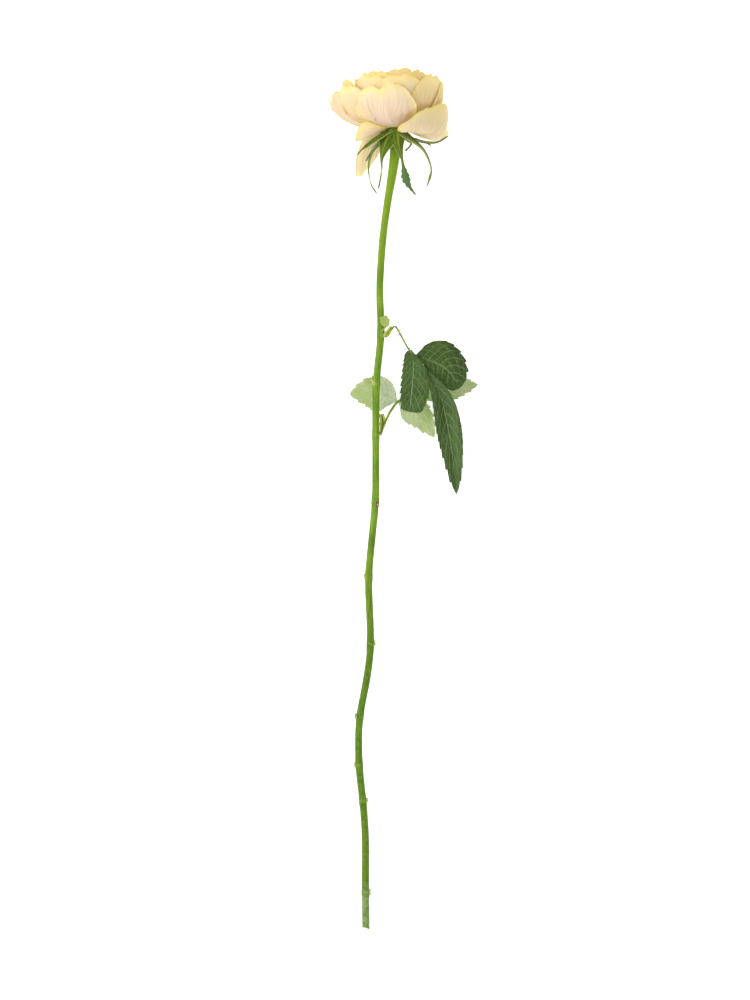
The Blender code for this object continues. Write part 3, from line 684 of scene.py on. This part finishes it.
def sepalPaint():
    # green tissue with fine lines along it, a light keel, pale downy edges and inner face, a bluer leafy tip
    paint = Paint("sepalTissue", roughness=0.6, specular=0.2, sheen=0.05)
    along, across, inner, leafy, pale = (paint.attribute(name) for name in
                                         ("along", "across", "inner", "leafy", "pale"))
    away = paint.math("ABSOLUTE", across)
    streaks = paint.noise(paint.combine(across * 7.0, along * 5.0, inner), 1.0, 3.0)
    colour = paint.mix(paint.step(streaks, 0.32, 0.68), greenColours["sepalDark"], greenColours["sepal"])
    colour = paint.mix(paint.step(away, 0.16, 0.02) * 0.5, colour, greenColours["sepalLight"])
    colour = paint.mix(leafy, colour, greenColours["sepalLeafy"])
    downy = paint.step(away, 0.86, 0.98) * paint.step(along, 0.7, 0.4)
    colour = paint.mix(downy * 0.6, colour, greenColours["felt"])
    colour = paint.mix(inner * 0.25, colour, greenColours["felt"])
    colour = paint.mix(pale, colour, greenColours["felt"])
    down = paint.noise(paint.objectPlace(), 1600.0, 2.0)
    normal = paint.bump(streaks + down * 0.6, 0.4, 0.0004)
    paint.dress(colour, 0.5 + down * 0.25, normal)
    paint.letLightThrough(0.14, rgb(170, 200, 70))
    return paint.material


def makeCalyx():
    material = sepalPaint()
    place = bloomFrame()
    u, v = grid(calyxLook["rows"], calyxLook["columns"])
    for number, sepal in enumerate(sepals):
        sheet = sepalSheet(sepal, u, v)
        thickness = calyxLook["thickness"] * (1 - 0.4 * np.abs(v) ** 2) * (1 - 0.1 * u)
        vertices, faces = bladeMesh(sheet, thickness)
        leafy = np.exp(-(((u - sepal.get("leafy", offBlade)) / 0.2) ** 2)) * sepal.get("teeth", 0.4)
        paleWay = (u - sepal.get("paleAt", offBlade)) / sepal.get("paleReach", 0.07)
        pale = np.exp(-(paleWay**2)) * 0.8
        if "paleSide" in sepal:
            pale = 0.8 * pale * smooth(sepal["paleSide"] * v, 0.4, 0.7)
        attributes = {
            "along": onBothSides(u),
            "across": onBothSides(v),
            "inner": np.repeat([0.0, 1.0], u.size),
            "leafy": onBothSides(leafy),
            "pale": onBothSides(pale),
        }
        addPiece(f"sepal_{number}", vertices, faces, "calyx", material, attributes, place)
    vertices, faces = turnedMesh(calyxLook["receptacle"], 40, 48)
    attributes = {
        "along": np.clip(-vertices[:, 2] / 40, 0, 1),
        "across": np.sin(5 * np.arctan2(vertices[:, 1], vertices[:, 0])) * 0.6,
        "inner": np.zeros(len(vertices)),
        "leafy": np.zeros(len(vertices)),
        "pale": np.zeros(len(vertices)),
    }
    addPiece("receptacle", vertices, faces, "calyx", material, attributes, place)
    print("calyx:", len(sepals), "sepals and lobes")


# Stem

stemLook = {
    "bends": [
        (-26.4, -301), (-26.8, -276), (-26.6, -236), (-28.5, -211), (-31.5, -186), (-31.5, -155),
        (-24.6, -120), (-22.7, -101), (-24.8, -54), (-19.4, 0), (-19.5, 81), (-15.5, 116), (-17, 148),
        (-14.5, 185), (-10.2, 215), (-6.6, 235), (-5.1, 250), (-5.3, 262),
    ],
    "bendLength": 12.0,
    "nodes": [-276, -211, -186, -152, -101, -54, 0, 46, 81, 116],
    "stretches": [(-301.0, -101.0), (-101.0, 81.0), (81.0, 252.5)],
    "cutEnd": -301.0,
    "radius": 2.55,
    "neckRadius": 3.75,
    "nodeSwell": 0.3,
    "endHeight": 2.47,
    "arch": 1.15,
    "sides": 44,
    "ringStep": 0.9,
    "cutSlant": (-0.3, 0.25),
    "cutFade": (9.0, 0.5),
    "cutRings": [(0.0, 0.05), (0.01, 0.3), (0.02, 0.55), (0.03, 0.8), (0.05, 0.9), (0.16, 0.965), (0.4, 1.0)],
    "slipRings": [(0.6, 0.97), (1.2, 0.9), (1.8, 0.84)],
}
nodeMarks = [
    # y of the node, the way its bud faces (x, z), the bud's length, how brown it all is, and the scar's reach
    {"y": -276, "faces": (1.0, 0.1), "bud": 3.2, "brown": 0.0, "scar": 0.5},
    {"y": -211, "faces": (1.0, 0.2), "bud": 2.2, "brown": 0.3, "scar": 0.8},
    {"y": -186, "faces": (-1.0, 0.2), "bud": 2.2, "brown": 0.2, "scar": 0.8},
    {"y": -152, "faces": (-1.0, 0.3), "bud": 2.6, "brown": 1.0, "scar": 0.6},
    {"y": -101, "faces": (1.0, 0.3), "bud": 3.0, "brown": 0.1, "scar": 0.6},
    {"y": -54, "faces": (-1.0, 0.2), "bud": 2.8, "brown": 0.0, "scar": 0.6},
    {"y": -2, "faces": (0.8, 0.7), "bud": 1.0, "brown": 1.6, "scar": 1.9},
    {"y": 46, "faces": (1.0, 0.1), "bud": 0.0, "brown": 0.0, "scar": 0.9},
    {"y": 83, "faces": (-1.0, 0.35), "bud": 2.4, "brown": 0.7, "scar": 1.3},
    {"y": 116, "faces": (1.0, 0.3), "bud": 0.0, "brown": 0.0, "scar": 1.1},
]


def stemMiddle(y):
    # straight between the bends, each bend rounded by an average over its length, and rising with its share
    # of the way to the power of arch
    bends = np.array(stemLook["bends"], float)
    window = np.linspace(-stemLook["bendLength"], stemLook["bendLength"], 13)
    x = np.interp(y[:, None] + window, bends[:, 1], bends[:, 0]).mean(axis=1)
    share = np.clip((y - stemLook["cutEnd"]) / (bloomPlace["base"][1] - stemLook["cutEnd"]), 0, 1)
    low, high = stemLook["endHeight"], bloomPlace["base"][2]
    return np.column_stack([x, y, low + (high - low) * share ** stemLook["arch"]])


def stemRadius(y):
    # even, with a bell at each node, and thicker by a power of 1.5 over the neck
    neck = np.clip((y - 195) / 50, 0, 1) ** 1.5
    swell = sum(np.exp(-(((y - node) / 3.5) ** 2)) for node in stemLook["nodes"])
    low, high = stemLook["radius"], stemLook["neckRadius"]
    return low + (high - low) * neck + stemLook["nodeSwell"] * swell


def stemPaint():
    # Smooth green skin with long streaks: yellower at the neck, darker and pitted lower down, with a bluish
    # bloom at the foot. Each node has a faint ring and a pale scar under its bud. The cut shows pith, wood
    # and a thin brown skin.
    paint = Paint("stemSkin", roughness=0.45, specular=0.15)
    place = paint.objectPlace()
    names = ("neck", "lower", "foot", "ring", "scar", "brown", "cut", "core")
    neck, lower, foot, ring, scar, brown, cut, core = (paint.attribute(name) for name in names)
    streaks = paint.noise(paint.objectPlace((1100.0, 22.0, 1100.0)), 1.0, 4.0)
    cloud = paint.noise(place, 55.0, 3.0)
    mottle = paint.noise(place, 320.0, 3.0)
    colour = paint.mix(paint.step(streaks, 0.32, 0.68), greenColours["stem"], greenColours["stemLight"])
    colour = paint.mix(paint.step(cloud, 0.42, 0.75) * 0.55, colour, greenColours["stemDark"])
    colour = paint.mix(neck * 0.7, colour, greenColours["neck"])
    colour = paint.mix(lower * 0.55, colour, greenColours["stemDark"])
    colour = paint.mix(foot * paint.step(mottle, 0.2, 0.75), colour, greenColours["bloomOnStem"])
    pores = paint.step(paint.noise(paint.objectPlace((1.0, 0.45, 1.0)), 850.0, 1.0), 0.66, 0.71)
    colour = paint.mix(pores * 0.12, colour, greenColours["felt"])
    pits = paint.step(paint.noise(paint.objectPlace((1.0, 0.6, 1.0)), 620.0, 2.0), 0.5, 0.72)
    colour = paint.mix(pits * lower * 0.6, colour, greenColours["stemDeep"])
    colour = paint.mix(ring * paint.step(mottle, 0.45, 0.7) * 0.3, colour, greenColours["scar"])
    colour = paint.mix(paint.step(scar + (mottle - 0.5) * 1.2, 0.5, 1.0) * 0.8, colour, greenColours["scar"])
    colour = paint.mix(paint.step(brown + (mottle - 0.5) * 0.8, 0.35, 0.6), colour, greenColours["scarBrown"])
    face = paint.mix(paint.step(core, 0.35, 0.5), greenColours["pith"], greenColours["cut"])
    face = paint.mix(paint.step(core + mottle * 0.2, 0.98, 1.08) * 0.7, face, greenColours["bark"])
    colour = paint.mix(cut, colour, face)
    normal = paint.bump(streaks + mottle * 0.5 - brown * 0.8, 0.3, 0.0004)
    paint.dress(colour, 0.36 + cloud * 0.18, normal)
    return paint.material


def stemMarks(vertices, middle):
    # Bells round each node: a thin ring, a crescent scar below the bud on its side, and a brown middle.
    y = vertices[:, 1]
    toSide = unit((vertices - middle)[:, [0, 2]] + 1e-9)
    ring = sum(np.exp(-(((y - node) / 0.7) ** 2)) for node in stemLook["nodes"])
    scar, brown = np.zeros_like(y), np.zeros_like(y)
    for mark in nodeMarks:
        near = toSide @ unit(np.array(mark["faces"]))
        reach = mark["scar"]
        low = (y - mark["y"] + 1.0) / (1.6 * reach)
        patch = np.exp(-(low**2)) * smooth(near, 0.55 - 0.15 * reach, 0.95)
        scar += patch * min(reach, 1.0) * 1.1
        brown += mark["brown"] * np.exp(-((low * 1.7) ** 2)) * smooth(near, 0.78 - 0.1 * reach, 0.97)
    return ring, scar, brown


def stemRings(number):
    # Places along y and shares of the radius: even rings, rounded off at the cut, and slimmer where a stretch
    # slips inside the next. cutRings and slipRings are (millimetres on, share of the radius).
    low, high = stemLook["stretches"][number]
    count = int((high - low) / stemLook["ringStep"])
    y, share = np.linspace(low, high, count), np.ones(count)
    if number == 0:
        on, shares = np.array(stemLook["cutRings"]).T
        y = np.concatenate([low + on, y[1:] + 0.2])
        share = np.concatenate([shares, share[1:]])
    if number < len(stemLook["stretches"]) - 1:
        on, shares = np.array(stemLook["slipRings"]).T
        y = np.concatenate([y, high + on])
        share = np.concatenate([share, shares])
    return y, share


def makeStem():
    # rings along the middle line, with slow lumps, and the foot sheared so that its end is a slanted plane
    material = stemPaint()
    sides = stemLook["sides"]
    turn = np.linspace(0, 2 * math.pi, sides, endpoint=False)
    slantX, slantZ = stemLook["cutSlant"]
    fadeEnd, fadeStart = stemLook["cutFade"]
    cutEnd = stemLook["cutEnd"]
    for number in range(len(stemLook["stretches"])):
        y, share = stemRings(number)
        path = stemMiddle(y)
        lumps = 0.035 * np.sin(5 * turn[None, :] + 0.02 * y[:, None]) + 0.05 * wobble(0.06 * y, 3, 6)[:, None]
        vertices, faces = tubeMesh(path, (stemRadius(y)[:, None] + lumps) * share[:, None], sides)
        rings = np.concatenate([np.repeat(np.arange(len(y)), sides), [0, len(y) - 1]])
        middle = path[rings]
        if number == 0:
            fade = smooth(y[rings], cutEnd + fadeEnd, cutEnd + fadeStart)
            away = vertices - middle
            vertices[:, 1] += fade * (away[:, 0] * slantX + away[:, 2] * slantZ)
        ring, scar, brown = stemMarks(vertices, middle)
        attributes = {
            "neck": smooth(vertices[:, 1], 120, 235),
            "lower": smooth(vertices[:, 1], -20, -110),
            "foot": smooth(vertices[:, 1], -266, -276),
            "ring": ring,
            "scar": scar,
            "brown": brown,
            "cut": (smooth(rings, 6, 4) if number == 0 else np.zeros(len(rings))),
            "core": np.concatenate([np.repeat(share, sides), [0, 0]]),
        }
        addPiece(f"stem_{number}", vertices, faces, "stem", material, attributes)
    print("stem:", len(stemLook["stretches"]), "stretches")


budLook = {
    # each scale's length as a share of the bud's, its radius, and how far up the stem it starts
    "scales": [(1.15, 1.0, 0.0), (0.6, 1.25, -0.6)],
    "lean": 1.7,
    "rings": 14,
    "sides": 16,
}


def makeBuds():
    # Two pointed scales one over the other on each bud: a tube whose radius is a half sine of its length, on
    # a path that leans out from the stem by lean s^1.4.
    paint = Paint("budScale", roughness=0.5, specular=0.35)
    tip = paint.attribute("tip")
    cloud = paint.noise(paint.objectPlace(), 500.0, 2.0)
    colour = paint.mix(paint.step(cloud, 0.3, 0.7), greenColours["stemLight"], greenColours["scar"])
    colour = paint.mix(tip, colour, greenColours["scarBrown"])
    material = paint.dress(colour, 0.45 + cloud * 0.2, paint.bump(cloud, 0.3, 0.0004))
    budded = [mark for mark in nodeMarks if mark["bud"] > 0]
    for number, mark in enumerate(budded):
        root = stemMiddle(np.array([mark["y"] - 0.6]))[0]
        way = unit(np.array([mark["faces"][0], 0.0, mark["faces"][1]]))
        radius = stemRadius(np.array([mark["y"]]))[0]
        meshes, tips = [], []
        for share, wide, lift in budLook["scales"]:
            s = np.linspace(0, 1, budLook["rings"])
            path = root + np.outer(s * (mark["bud"] * share) + lift, (0.0, 1.0, 0.0)) + way * (radius - 0.7)
            path = path + np.outer(budLook["lean"] * s**1.4, way)
            radii = wide * (np.sin(math.pi * (0.25 + 0.75 * s)) ** 0.8) * (1 - 0.15 * s) + 0.05
            meshes.append(tubeMesh(path, radii, budLook["sides"]))
            browned = smooth(s, max(1.0 - 0.55 * mark["brown"], 0.05), 1.05) * min(mark["brown"], 1.0)
            tips.append(np.append(np.repeat(browned, budLook["sides"]), browned[[0, -1]]))
        vertices, faces = joined(meshes)
        attributes = {"tip": np.concatenate(tips)}
        addPiece(f"bud_{number}", vertices, faces, "stem", material, attributes)
    print("buds:", len(budded))


# Leaves

leafLook = {
    "thickness": 0.32,
    "rowsPerTooth": 11,
    "columns": 41,
    "tip": 0.25,
    "toothDepth": (0.9, 0.9),
    "veinPairs": 8,
    "stalkRings": 90,
    "stalkSides": 16,
    "prickle": {"length": 2.1, "radius": 0.5},
}
# rib is the middle line and faces the way that the upper face looks. rise is in degrees. Pairs of values
# are for the halves where v is under 0 and over 0.
upperLeaf = {
    "side_left": {"rib": [(5.6, 105, 29.5), (6.8, 94, 30.5), (6.0, 79, 27.5), (4.0, 61.8, 21.5)],
                  "faces": (-0.2, 0.1, 1.0), "width": 22, "rise": 10, "widest": 0.66, "blunt": 0.25,
                  "teeth": 9, "halves": (0.74, 1.14), "base": (0.12, 0.6), "toothDepth": (1.3, 0.5),
                  "paintedSheenAndRib": 0.12},
    "side_right": {"rib": [(8.2, 100.2, 29.0), (20, 97, 26.6), (30.5, 91, 22.8), (40, 79, 16)],
                   "faces": (0.25, -0.05, 1.0), "width": 31, "rise": 5, "widest": 0.48, "blunt": 0.5,
                   "teeth": 9, "halves": (0.95, 1.12), "base": (2.2, 0.7)},
    "end": {"rib": [(16.3, 91, 29.0), (26.2, 71.5, 27.0), (30.5, 53, 20.5), (34, 33, 12.5), (37.2, 4.3, 3.6)],
            "faces": (0.1, 0.15, 1.0), "width": 22, "rise": 26, "widest": 0.52, "blunt": 0.75,
            "teeth": 13, "halves": (0.9, 0.95), "ripple": 0.13, "toothDepth": (0.9, 0.25), "paintedSheenAndRib": 0.28},
    "stipule": {"rib": [(-12.8, 113.6, 28.4), (-10.9, 117.4, 29.8), (-8.0, 121.4, 31.2)],
                "faces": (0.2, -0.3, 1.0), "width": 4.4, "rise": 20, "widest": 0.45, "blunt": 0.8,
                "teeth": 2},
}
lowerLeaf = {
    "side_left": {"rib": [(-4.4, 69.2, 15.4), (-13, 73, 14.0), (-24, 75.3, 11.0), (-37.8, 74.2, 6.5)],
                  "faces": (0.0, 0.1, -1.0), "width": 25.5, "rise": 7, "widest": 0.46, "blunt": 0.9,
                  "base": (1.3, 1.1), "toothDepth": (0.6, 0.6), "teeth": 8, "paintedLight": 0.8},
    "side_right": {"rib": [(-3.0, 68.6, 15.0), (4, 64.8, 12.6), (12.3, 57.8, 8.6), (21.7, 44.1, 3.8)],
                   "faces": (0.1, 0.15, -1.0), "width": 20, "rise": 8, "widest": 0.48, "blunt": 0.9,
                   "base": (0.9, 0.9), "teeth": 8, "paintedLight": 0.4},
    "end": {"rib": [(10.8, 73.6, 13.4), (25, 76.6, 11.0), (39, 79.4, 7.5), (52.3, 80.9, 4.6)],
            "faces": (0.0, 0.2, -1.0), "width": 17, "rise": 8, "widest": 0.45, "blunt": 0.9,
            "teeth": 8},
    "stipule": {"rib": [(-16.0, 46.4, 20.7), (-14.9, 51.5, 19.8), (-14.6, 55.8, 18.9), (-15.4, 60.4, 18.8)],
                "faces": (0.1, 0.2, 1.0), "width": 4.6, "rise": 20, "widest": 0.5, "blunt": 0.8,
                "teeth": 2},
}
axilLeaf = {
    "blade": {"rib": [(-12.7, 120.6, 32.3), (-12.6, 123, 33.0), (-13.3, 126, 33.2), (-14.4, 128.6, 32.7)],
              "faces": (0.1, 0.0, 1.0), "width": 6.6, "rise": 12, "widest": 0.5, "blunt": 0.4,
              "teeth": 3},
}
# foot is the stalk's radius where it leaves the stem. Each prickle has its share of the way and a direction.
stalks = {
    "upper_leaf": {"line": [(-12.2, 115.0, 28.3), (-10.7, 115.9, 28.9), (-8.6, 119.6, 30.6),
                            (-5.8, 121.2, 31.6), (-2.6, 116.5, 31.6), (3.0, 106.5, 30.0), (8.3, 100.2, 28.8),
                            (17.0, 89.8, 27.1)],
                   "foot": 1.3, "radius": 0.62,
                   "prickles": [(0.45, (0.8, 0.5, 0.3)), (0.52, (0.9, 0.2, 0.3)), (0.57, (-0.6, -0.7, 0.2)),
                                (0.72, (0.7, 0.2, -0.6))]},
    "lower_leaf": {"line": [(-16.4, 45.6, 21.0), (-15.4, 48.0, 20.2), (-13.0, 54.5, 18.9), (-8.7, 62.8, 17.0),
                            (-3.6, 69.2, 15.2), (4.0, 72.0, 14.2), (11.6, 73.8, 13.3)],
                   "foot": 1.2, "radius": 0.85,
                   "prickles": [(0.48, (-0.8, 0.2, 0.4)), (0.66, (0.6, -0.6, 0.4))]},
    "axil_leaf": {"line": [(-15.2, 118.4, 29.5), (-14.3, 119.2, 30.6), (-13.3, 120.2, 31.7),
                           (-12.7, 121.2, 32.5)],
                  "foot": 0.75, "radius": 0.5, "prickles": []},
}


def leafletSheet(leaflet):
    # A sine arch of half widths, bent so that its top is at widest, with a blunt or drawn-out end. Both
    # halves rise from the rib and arch over. Teeth lean to the tip: the edge swells by a saw wave and slides
    # forward. Side veins are whole numbers of phase = pairs (u - 0.16 |v| - 0.1 v^2), in quilted tissue.
    count = leaflet["teeth"]
    u, v = grid(count * leafLook["rowsPerTooth"] + 1, leafLook["columns"])
    rise = math.radians(leaflet["rise"])
    saw = (u * count) % 1.0
    saw = np.where(saw < 0.75, saw / 0.75, (1 - saw) / 0.25)
    edge = np.abs(v) ** 8
    t = np.clip(u + 0.35 / count * saw * edge * smooth(u, 1.0, 0.9), 0, 1)
    middle, run = through(leaflet["rib"], t), throughRun(leaflet["rib"], t)
    side = unit(np.cross(leaflet["faces"], run))
    face = np.cross(run, side)
    halves = leaflet.get("halves", (1.0, 1.0))
    bent = np.clip(u, 1e-6, 1 - 1e-6) ** (math.log(0.5) / math.log(leaflet["widest"]))
    base = leaflet.get("base", (0.6, 0.6))
    base = np.where(v < 0, base[0], base[1])
    arch = np.sin(math.pi * bent) ** np.where(u < leaflet["widest"], base, leaflet["blunt"])
    half = leaflet["width"] / 2 * arch * np.where(v < 0, halves[0], halves[1])
    depth = leaflet.get("toothDepth", leafLook["toothDepth"])
    depth = np.where(v < 0, depth[0], depth[1])
    half = np.maximum(half + depth * (saw - 0.4) * edge * smooth(arch, 0.1, 0.6), leafLook["tip"])
    phase = (u - 0.16 * np.abs(v) - 0.1 * v**2) * leafLook["veinPairs"] + np.where(v < 0, 0.35, 0.0)
    phase = phase + 0.12 * wobble(3 * u + 2 * v, 40 + count)
    quilt = 0.03 * half * np.abs(np.sin(math.pi * phase)) ** 0.7 * np.abs(v) ** 0.5 * (1 - np.abs(v) ** 3)
    ripple = leaflet.get("ripple", 0.05) * half * np.abs(v) ** 2 * np.sin(11 * u + 4 * v)
    groove = -0.3 * np.exp(-((v / 0.07) ** 2)) * (1 - u)
    up = half * (np.abs(v) * math.sin(rise) - 0.16 * v**2) + quilt + ripple + groove
    return u, v, phase, middle + side * (half * v * math.cos(rise))[..., None] + face * up[..., None]


def leafPaint(name, upper, lower, vein, through=0.14):
    # upper and lower face have their own green; the rib, arched side veins and a fine net are paler
    paint = Paint(name, roughness=0.45, specular=0.18)
    names = ("along", "across", "inner", "phase", "paintedSheenAndRib", "paintedLight")
    along, across, inner, phase, paintedSheenAndRib, paintedLight = (paint.attribute(key) for key in names)
    away = paint.math("ABSOLUTE", across)
    place = paint.objectPlace()
    drift = paint.noise(place, 90.0, 3.0)
    sideVeins = paint.lines(phase, 0.085) * paint.step(away, 1.0, 0.7)
    crossVeins = paint.lines(phase * 0.5 + away * 5.0 + drift * 2.0, 0.11) * 0.45
    rib = paint.step(away, 0.07, 0.02) * paint.step(along, 1.02, 0.85)
    cells = paint.cells(place, 700.0)
    net = paint.math("MAXIMUM", paint.step(cells, 0.12, 0.0) * 0.3, crossVeins)
    # the painted sheen's share also makes the rib paler
    lines = paint.math("MAXIMUM", paint.math("MAXIMUM", sideVeins * 0.8, rib * (paintedSheenAndRib * 6.0 + 0.45)), net)
    tissue = paint.mix(paint.step(drift, 0.3, 0.7), upper[0], upper[1])
    # painted sheen: a grey-green wash over the upper face stands in for the glossy highlight streaks
    tissue = paint.mix(paintedSheenAndRib * paint.step(drift, 0.2, 0.6), tissue, greenColours["leafPaintedSheen"])
    under = paint.mix(paint.step(drift, 0.3, 0.7), lower[0], lower[1])
    # painted light: the base of the lower face is lifted towards near-white, cancelling the shadow the stem
    # casts on it
    under = paint.mix(paintedLight * paint.step(along, 0.65, 0.35), under, greenColours["paintedLightColour"])
    colour = paint.mix(inner, under, tissue)
    colour = paint.mix(lines * 0.85, colour, vein)
    grain = paint.noise(place, 1500.0, 2.0)
    height = cells * 1.0 - lines * 1.2 + grain * 0.25
    paint.dress(colour, 0.40 + grain * 0.14 + (1 - inner) * 0.2, paint.bump(height, 0.6, 0.0006))
    paint.letLightThrough(through, rgb(176, 206, 96))
    return paint.material


def stipulePaint():
    # a thin wing: green along its rib, yellower to the edge
    paint = Paint("stipuleTissue", roughness=0.5, specular=0.25)
    away = paint.math("ABSOLUTE", paint.attribute("across"))
    cloud = paint.noise(paint.objectPlace(), 220.0, 3.0)
    shade = paint.step(away + (cloud - 0.5) * 0.6, 0.1, 0.6)
    colour = paint.mix(shade, greenColours["stalk"], greenColours["stipule"])
    paint.dress(colour, 0.5 + cloud * 0.15, paint.bump(cloud, 0.3, 0.0004))
    paint.letLightThrough(0.2, rgb(200, 210, 90))
    return paint.material


def stalkPaint():
    paint = Paint("stalkSkin", roughness=0.5, specular=0.35)
    cloud = paint.noise(paint.objectPlace(), 160.0, 3.0)
    colour = paint.mix(paint.step(cloud, 0.35, 0.65), greenColours["stalk"], greenColours["stalkYellow"])
    paint.dress(colour, 0.45 + cloud * 0.15, paint.bump(cloud, 0.2, 0.0004))
    return paint.material


def prickle(root, way):
    # a curved cone: radii fall to a point while the middle line bends down by length s^2 / 3
    length, radius = leafLook["prickle"]["length"], leafLook["prickle"]["radius"]
    s = np.linspace(0, 1, 8)[:, None]
    path = root + np.asarray(way) * length * s + np.array([0.0, -1.0, 0.0]) * length * s**2 / 3
    return tubeMesh(path, radius * (1 - s[:, 0]) ** 0.8 + 0.03, 8)


def makeBlades(node, leaflets, material, wing):
    for key, leaflet in leaflets.items():
        u, v, phase, sheet = leafletSheet(leaflet)
        thickness = leafLook["thickness"] * (1 - 0.4 * np.abs(v) ** 3)
        thickness = thickness + 0.5 * np.exp(-((v / 0.06) ** 2)) * (1 - u)
        vertices, faces = bladeMesh(sheet, thickness, -1)
        attributes = {
            "along": onBothSides(u),
            "across": onBothSides(v),
            "inner": np.repeat([1.0, 0.0], u.size),
            "phase": onBothSides(phase),
            # painted sheen, strongest on the right half of the leaflet, which also pales its rib
            "paintedSheenAndRib": onBothSides(leaflet.get("paintedSheenAndRib", 0.0) * (0.3 + np.exp(-(((v - 0.5) / 0.3) ** 2)))),
            # share of painted light that cancels the stem's shadow
            "paintedLight": np.full(2 * u.size, leaflet.get("paintedLight", 0.0)),
        }
        finish = wing if key == "stipule" else material
        addPiece(f"{node}_{key}", vertices, faces, node, finish, attributes)


def makeStalk(node, material):
    # a tube along the spline whose radius falls as a bell from foot to radius, with its prickles
    stalk = stalks[node]
    t = np.linspace(0, 1, leafLook["stalkRings"])
    line = through(stalk["line"], t)
    radii = stalk["radius"] + (stalk["foot"] - stalk["radius"]) * np.exp(-((t / 0.16) ** 2))
    meshes = [tubeMesh(line, radii, leafLook["stalkSides"])]
    for place, way in stalk["prickles"]:
        root = through(stalk["line"], np.array([place]))[0]
        meshes.append(prickle(root, way))
    vertices, faces = joined(meshes)
    addPiece(f"{node}_stalk", vertices, faces, node, material)


def makeLeaves():
    greens = greenColours
    upper = (greens["leaf"], greens["leafLight"])
    under = (greens["pale"], greens["paleLight"])
    tender = (greens["young"], greens["youngLight"])
    dark = leafPaint("leafUpper", upper, under, greens["leafVein"])
    pale = leafPaint("leafUnder", upper, under, greens["paleVein"], 0.3)
    young = leafPaint("leafYoung", tender, tender, greens["felt"], 0.25)
    skin, wing = stalkPaint(), stipulePaint()
    for node, leaflets, slot, blade in (
        ("upper_leaf", upperLeaf, "leaf_green", dark),
        ("lower_leaf", lowerLeaf, "leaf_pale", pale),
        ("axil_leaf", axilLeaf, "leaf_pale", young),
    ):
        makeBlades(node, leaflets, blade, wing)
        makeStalk(node, skin)
    print("leaves:", len(upperLeaf) + len(lowerLeaf) + len(axilLeaf), "blades")


# Studio

studio = {
    "aim": (-0.020, 0.0, 0.03),
    "distance": 9.0,
    "viewHeight": 0.7,
    "floorReach": 4.0,
    "floor": rgb(232, 232, 232),
    "floorGlow": 0.6,
    "skyStrength": 0.75,
    "lights": {
        "key": {"power": 135.0, "size": 3.6, "place": (-3.2, 1.0, 3.4)},
        "fill": {"power": 60.0, "size": 3.0, "place": (0.6, -3.4, 2.6)},
    },
}


def makeCamera():
    # straight above the aim, far off for little perspective
    camera = bpy.data.cameras.new("camera")
    camera.sensor_width = 36.0
    camera.lens = camera.sensor_width * studio["distance"] / studio["viewHeight"]
    camera.clip_end = 20.0
    stand = bpy.data.objects.new("camera", camera)
    stand.location = Vector(studio["aim"]) + Vector((0, 0, studio["distance"]))
    bpy.context.scene.collection.objects.link(stand)
    bpy.context.scene.camera = stand


def makeFloor():
    floorMesh = bpy.data.meshes.new("floor")
    reach = studio["floorReach"]
    corners = [(-reach, -reach, 0), (reach, -reach, 0), (reach, reach, 0), (-reach, reach, 0)]
    floorMesh.from_pydata(corners, [], [(0, 1, 2, 3)])
    floor = bpy.data.objects.new("floor", floorMesh)
    paint = Paint("floorPaper", roughness=0.9, specular=0.1)
    paint.shader.inputs["Emission Color"].default_value = (1.0, 1.0, 1.0, 1.0)
    paint.shader.inputs["Emission Strength"].default_value = studio["floorGlow"]
    floorMesh.materials.append(paint.dress(studio["floor"]))
    bpy.context.scene.collection.objects.link(floor)


def makeLights():
    # two wide soft discs turned to the aim, and an even white sky
    for name, values in studio["lights"].items():
        light = bpy.data.lights.new(name, "AREA")
        light.shape = "DISK"
        light.size = values["size"]
        light.energy = values["power"]
        lamp = bpy.data.objects.new(name, light)
        lamp.location = values["place"]
        way = Vector(studio["aim"]) - Vector(values["place"])
        lamp.rotation_euler = way.to_track_quat("-Z", "Y").to_euler()
        bpy.context.scene.collection.objects.link(lamp)
    world = bpy.data.worlds.new("sky")
    world.use_nodes = True
    world.node_tree.nodes["Background"].inputs["Color"].default_value = (1.0, 1.0, 1.0, 1.0)
    world.node_tree.nodes["Background"].inputs["Strength"].default_value = studio["skyStrength"]
    bpy.context.scene.world = world


def makeStudio():
    makeCamera()
    makeFloor()
    makeLights()
    bpy.context.scene.view_settings.view_transform = "Standard"
    print("studio ready")


makeStudio()
makeStem()
makeBuds()
makeLeaves()
makeCalyx()
makeHeart()
makeBloom()
